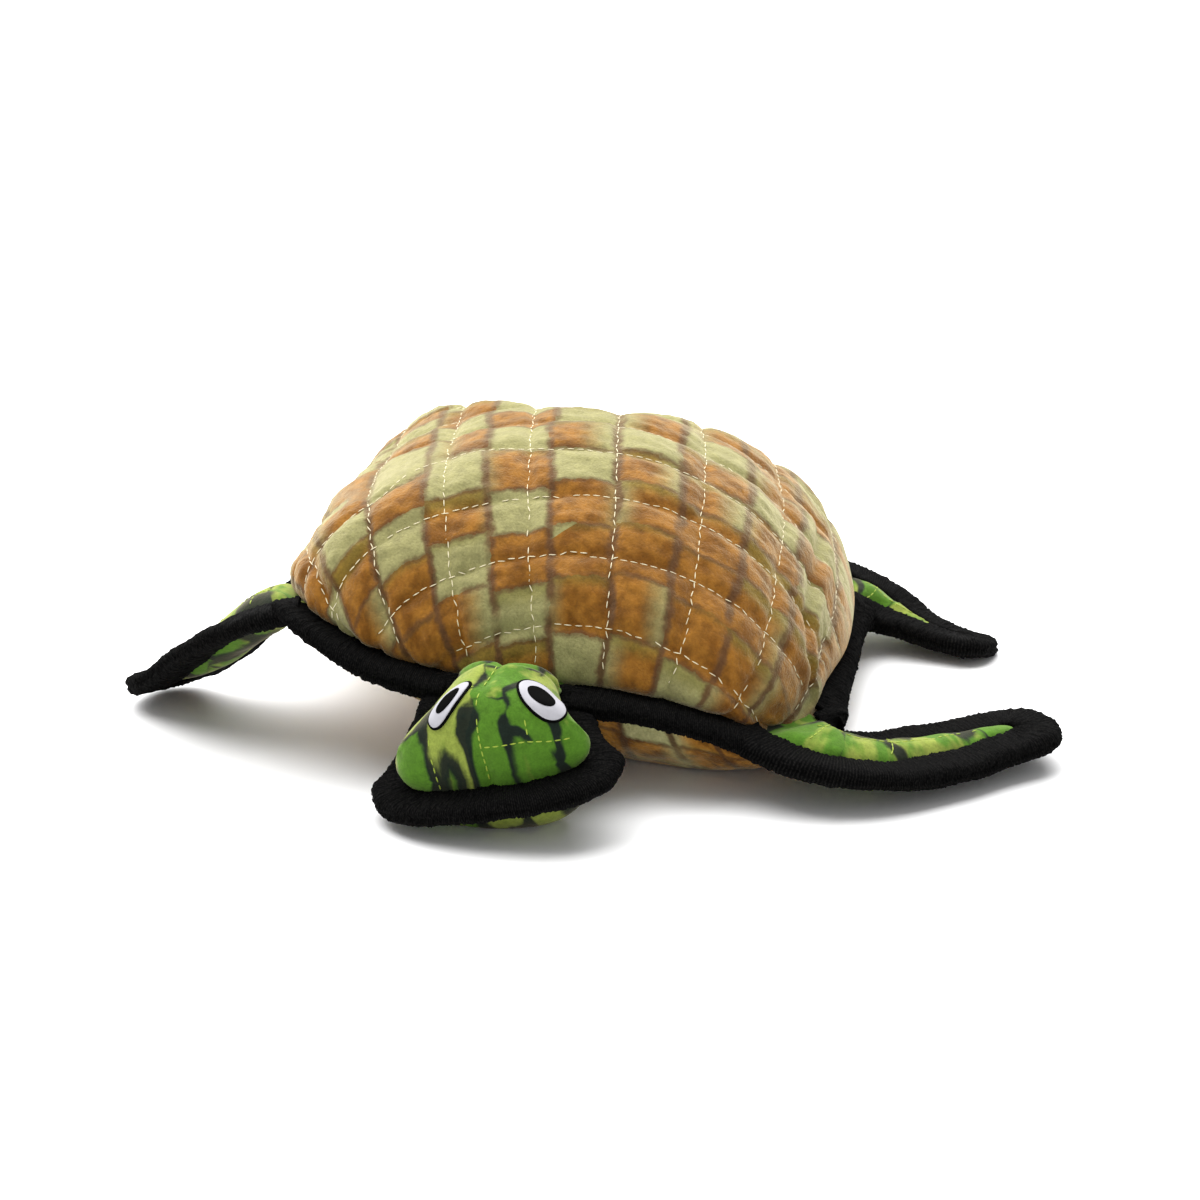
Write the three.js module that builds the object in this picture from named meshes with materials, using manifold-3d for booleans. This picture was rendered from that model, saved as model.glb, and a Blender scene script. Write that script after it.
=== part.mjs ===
// A stuffed sea turtle, a soft squeaking toy for dogs, lying on its belly as it was put down.
// Millimetres, +Z up. The head points towards -Y and the turtle's own left side towards +X.
// The origin lies on the floor, on the flat that the belly rests on.

import * as THREE from 'three';
import { mergeVertices } from 'three/addons/utils/BufferGeometryUtils.js';
import Module from 'manifold-3d';

const wasm = await Module();
wasm.setup();

// Shell, seen from above: a rounded square whose edge is the seam between shell and belly.
const SHELL_HALF_WIDTH = 116.9;
const SHELL_FRONT_REACH = 108.2;
const SHELL_REAR_REACH = 112.5;
const SHELL_CORNER_POWER = 4.77;

// Shell, seen from the side: how far its crown stands over the edge seam, and how it rounds.
const CROWN_RISE = 87;
const CROWN_TOP_POWER = 1.84;
const CROWN_SIDE_POWER_LOW_SIDE = 1.85;
const CROWN_SIDE_POWER_HIGH_SIDE = 1.7;

// Quilting of the shell: the pitch of its stitched columns and rows on the cloth, where one of each
// runs, how they lean and sag, and how far the cloth dips at the stitches and puffs up between them.
const QUILT_COLUMN_PITCH = 37.2;
const QUILT_COLUMN_AT = -9.5;
const QUILT_ROW_PITCH = 31.6;
const QUILT_ROW_AT = -125;
const QUILT_LEAN = 0.14;
const QUILT_LEAN_FROM = -0.6;
const QUILT_SAG_FROM = 0.1;
const QUILT_SAG_LEFT = { depth: 0.7, start: 0.12, full: 0.42 };
const QUILT_SAG_RIGHT = { depth: 0.2, start: 0.5, full: 0.8 };
const QUILT_DIP = 1.1;
const QUILT_PUFF = 1.9;
const QUILT_ROUND = 0.6;
const QUILT_FADE_FROM = 0.8;
const CLOTH_SHARE_AT_OVERHANG = 0.915;

// Height of the edge seam over the floor: the toy slumps on its left side, and its right side rides up.
// The sides and corners follow in turn: left, left rear, rear, right rear, right, right front, front
// and left front.
const SEAM_HEIGHTS = [18.5, 25.7, 29.9, 63.8, 54.5, 59.9, 38, 16.7];
const SEAM_MEAN_HEIGHT = 39.6;

// Belly: how far out it lies flat on the floor, as a share of the way to the seam, and how it bulges.
const FLAT_SHARE_LOW_SIDE = 0.9;
const FLAT_SHARE_HIGH_SIDE = 0.16;
const BELLY_ROUND_LOW_SIDE = 2.5;
const BELLY_ROUND_HIGH_SIDE = 1.06;

// Cloth, wadding and the clearances between layers.
const FLEECE = 2;
const WADDING = 1.8;
const LAYER_GAP = 0.3;
const LIMB_STUFFING_GAP = 0.8;
const STUFFING_EDGE = 0.1;
const SEAM_ALLOWANCE = 1.45;

// Binding tape, folded over the seam allowance of every edge.
const TAPE_WIDTH = 19;
const TAPE_THICKNESS = 2.4;
const TAPE_CLEARANCE = 0.45;
const TAPE_FOLD_DEPTH = 2.3;
const TAPE_FOLD_BEVEL = 1.1;
const TAPE_EDGE_BEVEL = 0.5;
const STITCH_CLEARANCE = 0.7;
const OVERHANG_HEIGHT = 13;

// Fabric hinges, where a limb's root is sewn into the edge seam: the nose of a cover's root is set
// out by a share of its radius, and the body's tape starts or stops clear of the root.
const HINGE_GAP = 0.45;
const TAPE_START = 4.6;
const BUTT_GAP = 1;
const TAPE_END_GAP = 0.15;
const NECK_STATION_DEGREES = 3;
const TOP_NOSE_SHARE = 0.3;
const INNER_NOSE_SHARE = 0.95;

// Squeaker: a soft bulb in a sewn pocket on the inside of the belly.
const BULB_RADIUS = 22;
const BULB_HEIGHT = 34;
const BULB_WALL = 1.4;
const BULB_MOUTH_RADIUS = 6;
const REED_FLANGE_RADIUS = 8;
const REED_FLANGE_THICKNESS = 2;
const REED_PLUG_HEIGHT = 8;
const REED_CLEARANCE = 0.3;
const POCKET_CLEARANCE = 0.4;
const POCKET_CLOTH = 1.2;
const SQUEEZE_ROOM = 3;
const SQUEAKER_X = 34;
const SQUEAKER_Y = 0;

// Limbs. The root is a stretch of the edge seam, in degrees round the shell from the left side.
// reach runs from the middle of the root to the tip, and tipHandle is the tip's own direction.
const FLIPPERS = {
  left_front_flipper: {
    rootFrom: -50.8, rootTo: -28.5, rootSlope: -20, rootHandle: 38,
    reach: [98, 38, -8], tipHandle: [36, 18, 5], tipRoll: -3,
    tipHalfWidth: 12.5, tipDepth: 13, topRise: 11, underRise: 4,
  },
  left_rear_flipper: {
    rootFrom: 29, rootTo: 45, rootSlope: -26, rootHandle: 24,
    reach: [62, -15, -15.5], tipHandle: [27, -7, 0], tipRoll: -14,
    tipHalfWidth: 8.5, tipDepth: 10, topRise: 9, underRise: 6,
  },
  right_rear_flipper: {
    rootFrom: 128.8, rootTo: 148.4, rootSlope: -30, rootHandle: 24,
    reach: [-18, 66, -50], tipHandle: [0, 28, -10], tipRoll: 0,
    tipHalfWidth: 13, tipDepth: 12, topRise: 9, underRise: 7,
  },
  right_front_flipper: {
    rootFrom: 197, rootTo: 219, rootSlope: -16, rootHandle: 26,
    reach: [-70, 16, -49], tipHandle: [-28, 10, -11], tipRoll: 10,
    tipHalfWidth: 13, tipDepth: 13, topRise: 12, underRise: 10,
  },
};
const FLIPPER_OUTLINE = { endPower: 2.4, taperPower: 1.1, rings: 3 };
const ROLL_END_SHARE = 0.65;

// Sliver of a panel that stays between the two edges of tape where a limb is narrower than they are.
const SLIVER_AT_EDGE = 1.8;
const SLIVER_FALL = 0.08;
const FLIPPER_THIN_SHARE = 0.7;
const FLIPPER_THIN_POWER = 1.5;
const FLIPPER_RIDGE_FROM = 0.2;

// Head: a short neck that widens into a broad brim, with a high crown and a full chin.
const HEAD = {
  rootFrom: 251.2, rootTo: 277.5, rootSlope: -30, rootHandle: 18,
  reach: [3.5, -57, -23], tipHandle: [0, -18, -1], tipRoll: 7,
  tipHalfWidth: 42, tipDepth: 20, topRise: 37, underRise: 25,
};
const HEAD_OUTLINE = { endPower: 2.4, taperPower: 2, rings: 5 };

// Cheeks: how far the head's swollen sides stand out over its tape, and the turn they do it at.
const CROWN_CHEEK = 7;
const CHIN_CHEEK = 2;
const CHEEK_TURN = 72;
const HEAD_RIDGE_FROM = 0.38;
const HEAD_RIDGE_TO = 0.72;
const CROWN_SHARE_AT_NECK = 0.86;
const CHIN_SHARE_AT_NECK = 0.6;

// Eyes: flat oval patches on the crown, each with a dark pupil patch on it.
const EYE_LENGTH = 20;
const EYE_WIDTH = 15;
const PUPIL_SHARE = 0.52;
const PATCH_THICKNESS = 1;
const PATCH_GAP = 1.1;
const EYE_SPREAD = 9;
const EYE_ALONG = 22;
const EYE_TURN = 25;
const EYE_FACING = { up: 0.62, ahead: 0.6, aside: 0.5 };

// Fineness of the meshes.
const EDGE_POINTS = 40;
const CROWN_RINGS = 6;
const QUILTED_RINGS = 17;
const CLOTH_STEPS = 60;
const GRID_ROUNDS = 24;
const BELLY_RINGS = 6;
const LIMB_SIDE_POINTS = 6;
const LIMB_END_POINTS = 3;
const PATCH_POINTS = 16;
const PATCH_SHARES = [0, 0.3, 0.65, 1];
const RAY_START = 60;
const SLAB_STATIONS = 10;
const SEAM_DIVISIONS = 720;
const HALVINGS = 40;
const LATHE_SEGMENTS = 24;
const BULB_STEPS = 7;

const UP = new THREE.Vector3(0, 0, 1);
const COLOURS = {
  shell: 0xb98d4a, wadding: 0xf2efe6, belly: 0xb7b083, stuffing: 0xf4f4f0, tape: 0x16171a,
  limb: 0x6d9a35, white: 0xf1f1f4, pupil: 0x121212, rubber: 0xd9d6cc, reed: 0xe8e8e8, pocket: 0xdedbd0,
};

const turtle = new THREE.Group();

function addPiece(name, geometry, colour, roughness = 0.95) {
  const material = new THREE.MeshStandardMaterial({ color: colour, roughness, metalness: 0 });
  const mesh = new THREE.Mesh(geometry, material);
  mesh.name = name;
  turtle.add(mesh);
  return mesh;
}

// Half of the folded tape's depth: its own thickness over one layer of seam allowance.
const TAPE_INNER = SEAM_ALLOWANCE + LAYER_GAP / 2 + TAPE_CLEARANCE;
const TAPE_OUTER = TAPE_INNER + TAPE_THICKNESS;
const TAPE_EDGE_INSET = TAPE_WIDTH / 2;
const STITCH_INSET = TAPE_EDGE_INSET + STITCH_CLEARANCE;
const FLANGE_REACH = TAPE_WIDTH / 2 - TAPE_THICKNESS - STITCH_CLEARANCE;
const NOSE_RADIUS = SEAM_ALLOWANCE + LAYER_GAP;
const ROOT_SETBACK = NOSE_RADIUS + HINGE_GAP;

// Closed skin over rings of points: outwards over the outer rings, and back over the inner ones.
// Both lists run from the middle to the edge, and their facets follow the same diagonals, so that
// layers keep their gap. A ring may have half as many points as the one before it. Rings that shrink
// to a line or a point close the ends by themselves, and other ends are closed by the given
// triangles over the first and last ring. From the given corner of a ring on, the facets follow the
// other diagonals.
function skin(outerRings, innerRings = [], endFaces = [], turnedFrom = Infinity) {
  const positions = [];
  const indexByPlace = new Map();
  const faces = [];
  const indexOf = (point) => {
    const place = [point.x, point.y, point.z].map((v) => Math.round(v * 1000)).join();
    if (!indexByPlace.has(place)) {
      indexByPlace.set(place, positions.length / 3);
      positions.push(point.x, point.y, point.z);
    }
    return indexByPlace.get(place);
  };
  const addFace = (a, b, c) => {
    if (a !== b && b !== c && c !== a) faces.push(a, b, c);
  };
  const rows = [...outerRings, ...[...innerRings].reverse()].map((ring) => ring.map(indexOf));
  for (let k = 0; k + 1 < rows.length; k += 1) {
    const near = rows[k];
    const far = rows[k + 1];
    if (near.length === 2 * far.length) {
      addFinerRow(near, far, addFace);
      continue;
    }
    for (let i = 0; i < near.length; i += 1) {
      const j = (i + 1) % near.length;
      const turned = k >= outerRings.length || i >= turnedFrom;
      addFace(near[i], near[j], turned ? far[i] : far[j]);
      addFace(turned ? near[j] : near[i], far[j], far[i]);
    }
  }
  for (const [a, b, c] of endFaces) {
    const last = rows[rows.length - 1];
    addFace(rows[0][a], rows[0][c], rows[0][b]);
    addFace(last[a], last[b], last[c]);
  }
  const geometry = new THREE.BufferGeometry();
  geometry.setAttribute('position', new THREE.Float32BufferAttribute(positions, 3));
  geometry.setIndex(signedVolume(positions, faces) < 0 ? faces.reverse() : faces);
  return geometry;
}

// Facets between a ring and the next one, which has half as many points.
function addFinerRow(near, far, addFace) {
  for (let i = 0; i < far.length; i += 1) {
    const j = (i + 1) % far.length;
    const between = near[2 * i + 1];
    addFace(near[2 * i], between, far[i]);
    addFace(between, far[j], far[i]);
    addFace(between, near[2 * j], far[j]);
  }
}

function signedVolume(positions, faces) {
  const corner = (i) => new THREE.Vector3().fromArray(positions, 3 * i);
  let volume = 0;
  for (let f = 0; f < faces.length; f += 3) {
    const [a, b, c] = [corner(faces[f]), corner(faces[f + 1]), corner(faces[f + 2])];
    volume += a.dot(b.cross(c)) / 6;
  }
  return volume;
}

// Solid for cutting and joining, and back again.
function toSolid(geometry) {
  const bare = geometry.clone();
  bare.deleteAttribute('normal');
  bare.deleteAttribute('uv');
  const merged = mergeVertices(bare, 1e-4);
  return new wasm.Manifold(new wasm.Mesh({
    numProp: 3,
    vertProperties: new Float32Array(merged.attributes.position.array),
    triVerts: new Uint32Array(merged.index.array),
  }));
}

function toGeometry(solid) {
  const mesh = solid.getMesh();
  const geometry = new THREE.BufferGeometry();
  geometry.setAttribute('position', new THREE.Float32BufferAttribute(mesh.vertProperties, 3));
  geometry.setIndex([...mesh.triVerts]);
  return geometry;
}

// Edge seam of the shell

function reachAt(y) {
  return y < 0 ? SHELL_FRONT_REACH : SHELL_REAR_REACH;
}

// How far out a point lies: 0 in the middle of the shell and 1 on its edge seam.
function edgeShare(x, y) {
  const across = Math.abs(x / SHELL_HALF_WIDTH) ** SHELL_CORNER_POWER;
  const along = Math.abs(y / reachAt(y)) ** SHELL_CORNER_POWER;
  return (across + along) ** (1 / SHELL_CORNER_POWER);
}

// Height of the edge seam on the side of a point, smooth between the listed sides and corners.
function seamHeight(x, y) {
  const half = SHELL_CORNER_POWER / 2;
  const sine = Math.sign(y) * Math.abs(y / reachAt(y)) ** half;
  const cosine = Math.sign(x) * Math.abs(x / SHELL_HALF_WIDTH) ** half;
  const count = SEAM_HEIGHTS.length;
  const turn = ((Math.atan2(sine, cosine) / (2 * Math.PI)) * count + count) % count;
  const i = Math.floor(turn) % count;
  const f = turn - Math.floor(turn);
  const [a, b, c, d] = [-1, 0, 1, 2].map((step) => SEAM_HEIGHTS[(i + step + count) % count]);
  const slopeIn = (c - a) / 2;
  const slopeOut = (d - b) / 2;
  const f2 = f * f;
  const f3 = f2 * f;
  const from = b * (2 * f3 - 3 * f2 + 1) + slopeIn * (f3 - 2 * f2 + f);
  return from + c * (3 * f2 - 2 * f3) + slopeOut * (f3 - f2);
}

// Height of the seam's warped sheet over the floor, inside the edge too.
function sheetHeight(x, y) {
  return SEAM_MEAN_HEIGHT + (seamHeight(x, y) - SEAM_MEAN_HEIGHT) * edgeShare(x, y) ** 2;
}

class EdgeSeam extends THREE.Curve {
  // Point at a share of a full turn, counted from the left side towards the rear.
  getPoint(share, target = new THREE.Vector3()) {
    const angle = share * 2 * Math.PI;
    const x = Math.cos(angle);
    const y = Math.sin(angle);
    const length = 1 / edgeShare(x, y);
    return target.set(x * length, y * length, 0);
  }
}

const edgeSeam = new EdgeSeam();
edgeSeam.arcLengthDivisions = SEAM_DIVISIONS;

// Point of the edge seam at a share of a turn, moved inwards square to the seam, in plan.
function seamPoint(share, inset) {
  const wrapped = share - Math.floor(share);
  const point = edgeSeam.getPoint(wrapped);
  const tangent = edgeSeam.getTangent(wrapped);
  return point.add(new THREE.Vector3(-tangent.y, tangent.x, 0).multiplyScalar(inset));
}

function seatedOnSheet(point, offset) {
  return new THREE.Vector3(point.x, point.y, sheetHeight(point.x, point.y) + offset);
}

// Root line of a limb: a straight stretch between two points of the edge seam.
function rootLine({ rootFrom, rootTo }) {
  const [start, end] = [rootFrom, rootTo].map((degrees) => {
    const point = seamPoint(degrees / 360, 0);
    return new THREE.Vector3(point.x, point.y, seamHeight(point.x, point.y));
  });
  const middle = start.clone().add(end).multiplyScalar(0.5);
  const along = end.clone().sub(start);
  const outwards = new THREE.Vector3(along.y, -along.x, 0).normalize();
  return { middle, outwards, halfWidth: along.length() / 2, along: along.normalize() };
}

const neckRoot = rootLine(HEAD);
const flipperRoots = Object.fromEntries(
  Object.entries(FLIPPERS).map(([name, limb]) => [name, rootLine(limb)]),
);

function beyondRoot(point, root) {
  return (point.x - root.middle.x) * root.outwards.x + (point.y - root.middle.y) * root.outwards.y;
}

function alongRoot(point, root) {
  return (point.x - root.middle.x) * root.along.x + (point.y - root.middle.y) * root.along.y;
}

// Keeps a point of the body behind every limb's root line, so that the limbs can turn. Beside the
// neck's root it may be kept further back, so that the layers there still lie one in the other.
function behindRoots(point, depth, depthBesideNeck = depth) {
  const kept = point.clone();
  const roots = [neckRoot, ...Object.values(flipperRoots)];
  for (const root of roots) {
    const aside = Math.abs(alongRoot(kept, root));
    const isBesideNeck = root === neckRoot && aside > root.halfWidth;
    const excess = beyondRoot(kept, root) + ROOT_SETBACK + (isBesideNeck ? depthBesideNeck : depth);
    if (excess > 0 && aside < root.halfWidth + 2 * TAPE_WIDTH) kept.addScaledVector(root.outwards, -excess);
  }
  return kept;
}

// Body: covers, wadding and stuffing

// Stations round the edge seam: even ones, and one close beside each end of the neck's root.
const evenShares = Array.from({ length: EDGE_POINTS }, (_, i) => edgeSeam.getUtoTmapping(i / EDGE_POINTS));
const besideNeck = [HEAD.rootFrom - NECK_STATION_DEGREES, HEAD.rootTo + NECK_STATION_DEGREES];
const edgeShares = [...evenShares, ...besideNeck.map((degrees) => degrees / 360)].sort((a, b) => a - b);
const edgePoints = edgeShares.map((share) => seamPoint(share, 0));

// How much a point faces the side that the toy slumps on: 1 straight to the left, 0 to the right.
function lowSideShare(point) {
  return (1 + point.x / Math.hypot(point.x, point.y)) / 2;
}

// Ring at a constant inset from the edge seam, lifted off the seam's sheet.
function insetRing(inset, lift, depthBesideNeck = 0) {
  const points = edgeShares.map((share) => behindRoots(seamPoint(share, inset), 0, depthBesideNeck));
  return points.map((point) => seatedOnSheet(point, lift));
}

// Outer edge of the seam allowance, inside the tape.
function flange(lift) {
  return insetRing(-FLANGE_REACH, lift, TAPE_THICKNESS + TAPE_CLEARANCE);
}

// Point of the shell below an edge point, for a layer that lies some way under the outside.
function crownPoint(edge, angle, layerDepth) {
  const lift = (CROWN_RISE - layerDepth) * Math.cos(angle) ** (2 / CROWN_TOP_POWER);
  const low = lowSideShare(edge);
  const power = THREE.MathUtils.lerp(CROWN_SIDE_POWER_HIGH_SIDE, CROWN_SIDE_POWER_LOW_SIDE, low);
  const share = Math.sin(angle) ** (2 / power);
  const shrink = 1 - layerDepth / edge.length();
  const point = edge.clone().multiplyScalar(share * shrink);
  return seatedOnSheet(behindRoots(point, layerDepth), lift);
}

const OVERHANG_ANGLE = Math.acos((OVERHANG_HEIGHT / CROWN_RISE) ** (CROWN_TOP_POWER / 2));

// Rings of the shell's dome from its top down to the overhang above the tape.
function domeRings(layerDepth) {
  return Array.from({ length: CROWN_RINGS + 1 }, (_, k) => (
    edgePoints.map((edge) => crownPoint(edge, (OVERHANG_ANGLE * k) / CROWN_RINGS, layerDepth))
  ));
}

// Length of the crown's curve from its top down to each of the quilted rings.
const crownRuns = (() => {
  const radius = (SHELL_FRONT_REACH + SHELL_HALF_WIDTH) / 2;
  const power = (CROWN_SIDE_POWER_LOW_SIDE + CROWN_SIDE_POWER_HIGH_SIDE) / 2;
  const steps = QUILTED_RINGS * CLOTH_STEPS;
  const runs = [0];
  let last = [0, CROWN_RISE];
  let run = 0;
  for (let k = 1; k <= steps; k += 1) {
    const angle = (OVERHANG_ANGLE * k) / steps;
    const height = CROWN_RISE * Math.cos(angle) ** (2 / CROWN_TOP_POWER);
    const place = [radius * Math.sin(angle) ** (2 / power), height];
    run += Math.hypot(place[0] - last[0], place[1] - last[1]);
    last = place;
    if (k % CLOTH_STEPS === 0) runs.push(run);
  }
  return runs;
})();
const CLOTH_HALF = crownRuns[QUILTED_RINGS] / CLOTH_SHARE_AT_OVERHANG;

// Place on the square cloth, from -1 to 1 both ways, of a point some share of the way to an edge point.
function clothPlace(edge, share) {
  const x = (share * edge.x) / SHELL_HALF_WIDTH;
  const y = (share * edge.y) / reachAt(edge.y);
  const narrowed = (other) => (1 - Math.abs(other) ** SHELL_CORNER_POWER / 2) ** (1 / SHELL_CORNER_POWER);
  let [a, b] = [x, y];
  for (let round = 0; round < GRID_ROUNDS; round += 1) {
    [a, b] = [x / narrowed(b), y / narrowed(a)].map((v) => THREE.MathUtils.clamp(v, -1, 1));
  }
  return [a, b];
}

// Height of the quilted cloth over its mean at a place on the cloth.
function quiltHeight([a, b]) {
  const sag = ({ depth, start, full }, aside) => (
    depth * THREE.MathUtils.smoothstep(-b, start, full) * aside ** 2
  );
  const leftSag = sag(QUILT_SAG_LEFT, Math.min(a - QUILT_SAG_FROM, 0));
  const rightSag = sag(QUILT_SAG_RIGHT, Math.max(a - QUILT_SAG_FROM, 0));
  const column = (a + QUILT_LEAN * (b - QUILT_LEAN_FROM)) * CLOTH_HALF - QUILT_COLUMN_AT;
  const row = (b + leftSag + rightSag) * CLOTH_HALF - QUILT_ROW_AT;
  const acrossCell = Math.abs(Math.sin((Math.PI * column) / QUILT_COLUMN_PITCH));
  const alongCell = Math.abs(Math.sin((Math.PI * row) / QUILT_ROW_PITCH));
  const puff = (acrossCell * alongCell) ** QUILT_ROUND;
  const edgeFade = 1 - THREE.MathUtils.smoothstep(Math.max(Math.abs(a), Math.abs(b)), QUILT_FADE_FROM, 1);
  return (puff * (QUILT_PUFF + QUILT_DIP) - QUILT_DIP) * edgeFade;
}

// Rings of the quilted outside, with one more station between each two.
function quiltedRings() {
  const shares = edgeShares.flatMap((share, i) => {
    const next = i + 1 < edgeShares.length ? edgeShares[i + 1] : edgeShares[0] + 1;
    return [share, (share + next) / 2];
  });
  const edges = shares.map((share) => seamPoint(share, 0));
  return crownRuns.map((run, k) => edges.map((edge) => {
    const place = clothPlace(edge, run / CLOTH_HALF);
    return crownPoint(edge, (OVERHANG_ANGLE * k) / QUILTED_RINGS, -quiltHeight(place));
  }));
}

// Ring of the belly: turn 0 is the edge of the flat, turn 1 the foot of the seam allowance.
function bellyRing(turn, layerDepth) {
  const underTape = TAPE_OUTER + TAPE_CLEARANCE + layerDepth;
  return edgeShares.map((share, i) => {
    const edge = edgePoints[i];
    const low = lowSideShare(edge);
    const flat = THREE.MathUtils.lerp(FLAT_SHARE_HIGH_SIDE, FLAT_SHARE_LOW_SIDE, low);
    const power = THREE.MathUtils.lerp(BELLY_ROUND_HIGH_SIDE, BELLY_ROUND_LOW_SIDE, low);
    const foot = behindRoots(seamPoint(share, STITCH_INSET + layerDepth), layerDepth);
    const inner = edge.clone().multiplyScalar(flat);
    const point = inner.lerp(foot, Math.sin((turn * Math.PI) / 2));
    const seam = sheetHeight(foot.x, foot.y) - underTape - layerDepth;
    const bulge = Math.sin((turn * Math.PI) / 2);
    const z = layerDepth + seam * (1 - (1 - bulge ** power) ** (1 / power));
    return new THREE.Vector3(point.x, point.y, z);
  });
}

function collapsed(height) {
  return edgePoints.map(() => new THREE.Vector3(0, 0, height));
}

function bellyRings(layerDepth) {
  const rings = Array.from({ length: BELLY_RINGS }, (_, k) => bellyRing(k / (BELLY_RINGS - 1), layerDepth));
  return [collapsed(layerDepth), ...rings];
}

function shellFleece() {
  const tuck = STITCH_INSET + FLEECE;
  const flangeTop = SEAM_ALLOWANCE + LAYER_GAP / 2;
  const flangeUnder = LAYER_GAP / 2;
  const overTape = TAPE_OUTER + TAPE_CLEARANCE;
  const outer = [
    ...quiltedRings(),
    insetRing(STITCH_INSET, overTape),
    insetRing(STITCH_INSET, flangeTop),
    flange(flangeTop),
  ];
  const inner = [
    ...domeRings(FLEECE),
    insetRing(tuck, overTape),
    insetRing(tuck, flangeUnder),
    flange(flangeUnder),
  ];
  return skin(outer, inner);
}

function shellWadding() {
  const outer = FLEECE + LAYER_GAP;
  const inner = outer + WADDING;
  const foot = TAPE_OUTER + TAPE_CLEARANCE;
  return skin(
    [...domeRings(outer), insetRing(STITCH_INSET + outer, foot)],
    [...domeRings(inner), insetRing(STITCH_INSET + inner, foot)],
  );
}

function bellyFleece() {
  const tuck = STITCH_INSET + FLEECE;
  const flangeTop = -LAYER_GAP / 2;
  const flangeUnder = -SEAM_ALLOWANCE - LAYER_GAP / 2;
  return skin(
    [...bellyRings(0), insetRing(STITCH_INSET, flangeUnder), flange(flangeUnder)],
    [...bellyRings(FLEECE), insetRing(tuck, flangeTop), flange(flangeTop)],
  );
}

function bodyStuffing() {
  const underShell = FLEECE + WADDING + 2 * LAYER_GAP;
  const overBelly = FLEECE + LAYER_GAP;
  const sides = STITCH_INSET + underShell;
  const foot = [insetRing(sides, TAPE_OUTER + TAPE_CLEARANCE), insetRing(sides, 0)];
  const upper = [...domeRings(underShell), ...foot];
  const block = skin(upper, bellyRings(overBelly));
  return toGeometry(toSolid(block).subtract(toSolid(pocketRecess())));
}

// Squeaker, its pocket and the recess that the stuffing leaves for them

const POCKET_FLOOR = FLEECE + LAYER_GAP;
const BULB_FOOT = POCKET_FLOOR + SQUEEZE_ROOM + REED_FLANGE_THICKNESS + REED_CLEARANCE;
const BULB_TOP = BULB_FOOT + BULB_HEIGHT;
const POCKET_RADIUS = BULB_RADIUS + POCKET_CLEARANCE + POCKET_CLOTH;
const POCKET_TOP = BULB_TOP + POCKET_CLEARANCE + POCKET_CLOTH;

function lathe(profile) {
  const points = profile.map(([radius, height]) => new THREE.Vector2(radius, height));
  const geometry = new THREE.LatheGeometry(points, LATHE_SEGMENTS).rotateX(Math.PI / 2);
  return geometry.translate(SQUEAKER_X, SQUEAKER_Y, 0);
}

function pocketRecess() {
  const radius = POCKET_RADIUS + LAYER_GAP;
  const top = POCKET_TOP + LAYER_GAP;
  return lathe([[0, -LAYER_GAP], [radius, -LAYER_GAP], [radius, top], [0, top]]);
}

function squeakerPocket() {
  const innerRadius = POCKET_RADIUS - POCKET_CLOTH;
  const innerTop = POCKET_TOP - POCKET_CLOTH;
  const corners = [[0, POCKET_TOP], [0, innerTop], [innerRadius, innerTop], [innerRadius, POCKET_FLOOR]];
  return lathe([...corners, [POCKET_RADIUS, POCKET_FLOOR], [POCKET_RADIUS, POCKET_TOP], [0, POCKET_TOP]]);
}

function squeakerBulb() {
  const middle = (BULB_FOOT + BULB_TOP) / 2;
  const mouthAngle = Math.asin(BULB_MOUTH_RADIUS / BULB_RADIUS);
  const arc = (shrink) => Array.from({ length: BULB_STEPS + 1 }, (_, k) => {
    const angle = -Math.PI / 2 + mouthAngle + ((Math.PI - mouthAngle) * k) / BULB_STEPS;
    const radius = k === BULB_STEPS ? 0 : (BULB_RADIUS - shrink) * Math.cos(angle);
    return [radius, middle + (BULB_HEIGHT / 2 - shrink) * Math.sin(angle)];
  });
  const outer = arc(0);
  return lathe([...arc(BULB_WALL).reverse(), ...outer, arc(BULB_WALL)[BULB_STEPS]]);
}

function squeakerReed() {
  const middle = (BULB_FOOT + BULB_TOP) / 2;
  const mouthAngle = Math.asin(BULB_MOUTH_RADIUS / BULB_RADIUS);
  const mouth = middle - (BULB_HEIGHT / 2) * Math.cos(mouthAngle);
  const radius = (BULB_RADIUS - BULB_WALL) * Math.sin(mouthAngle) - REED_CLEARANCE;
  const foot = mouth - REED_CLEARANCE - REED_FLANGE_THICKNESS;
  const flangeTop = foot + REED_FLANGE_THICKNESS;
  const plugTop = foot + REED_PLUG_HEIGHT;
  return lathe([[0, foot], [REED_FLANGE_RADIUS, foot], [REED_FLANGE_RADIUS, flangeTop],
    [radius, flangeTop], [radius, plugTop], [0, plugTop]]);
}

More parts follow.
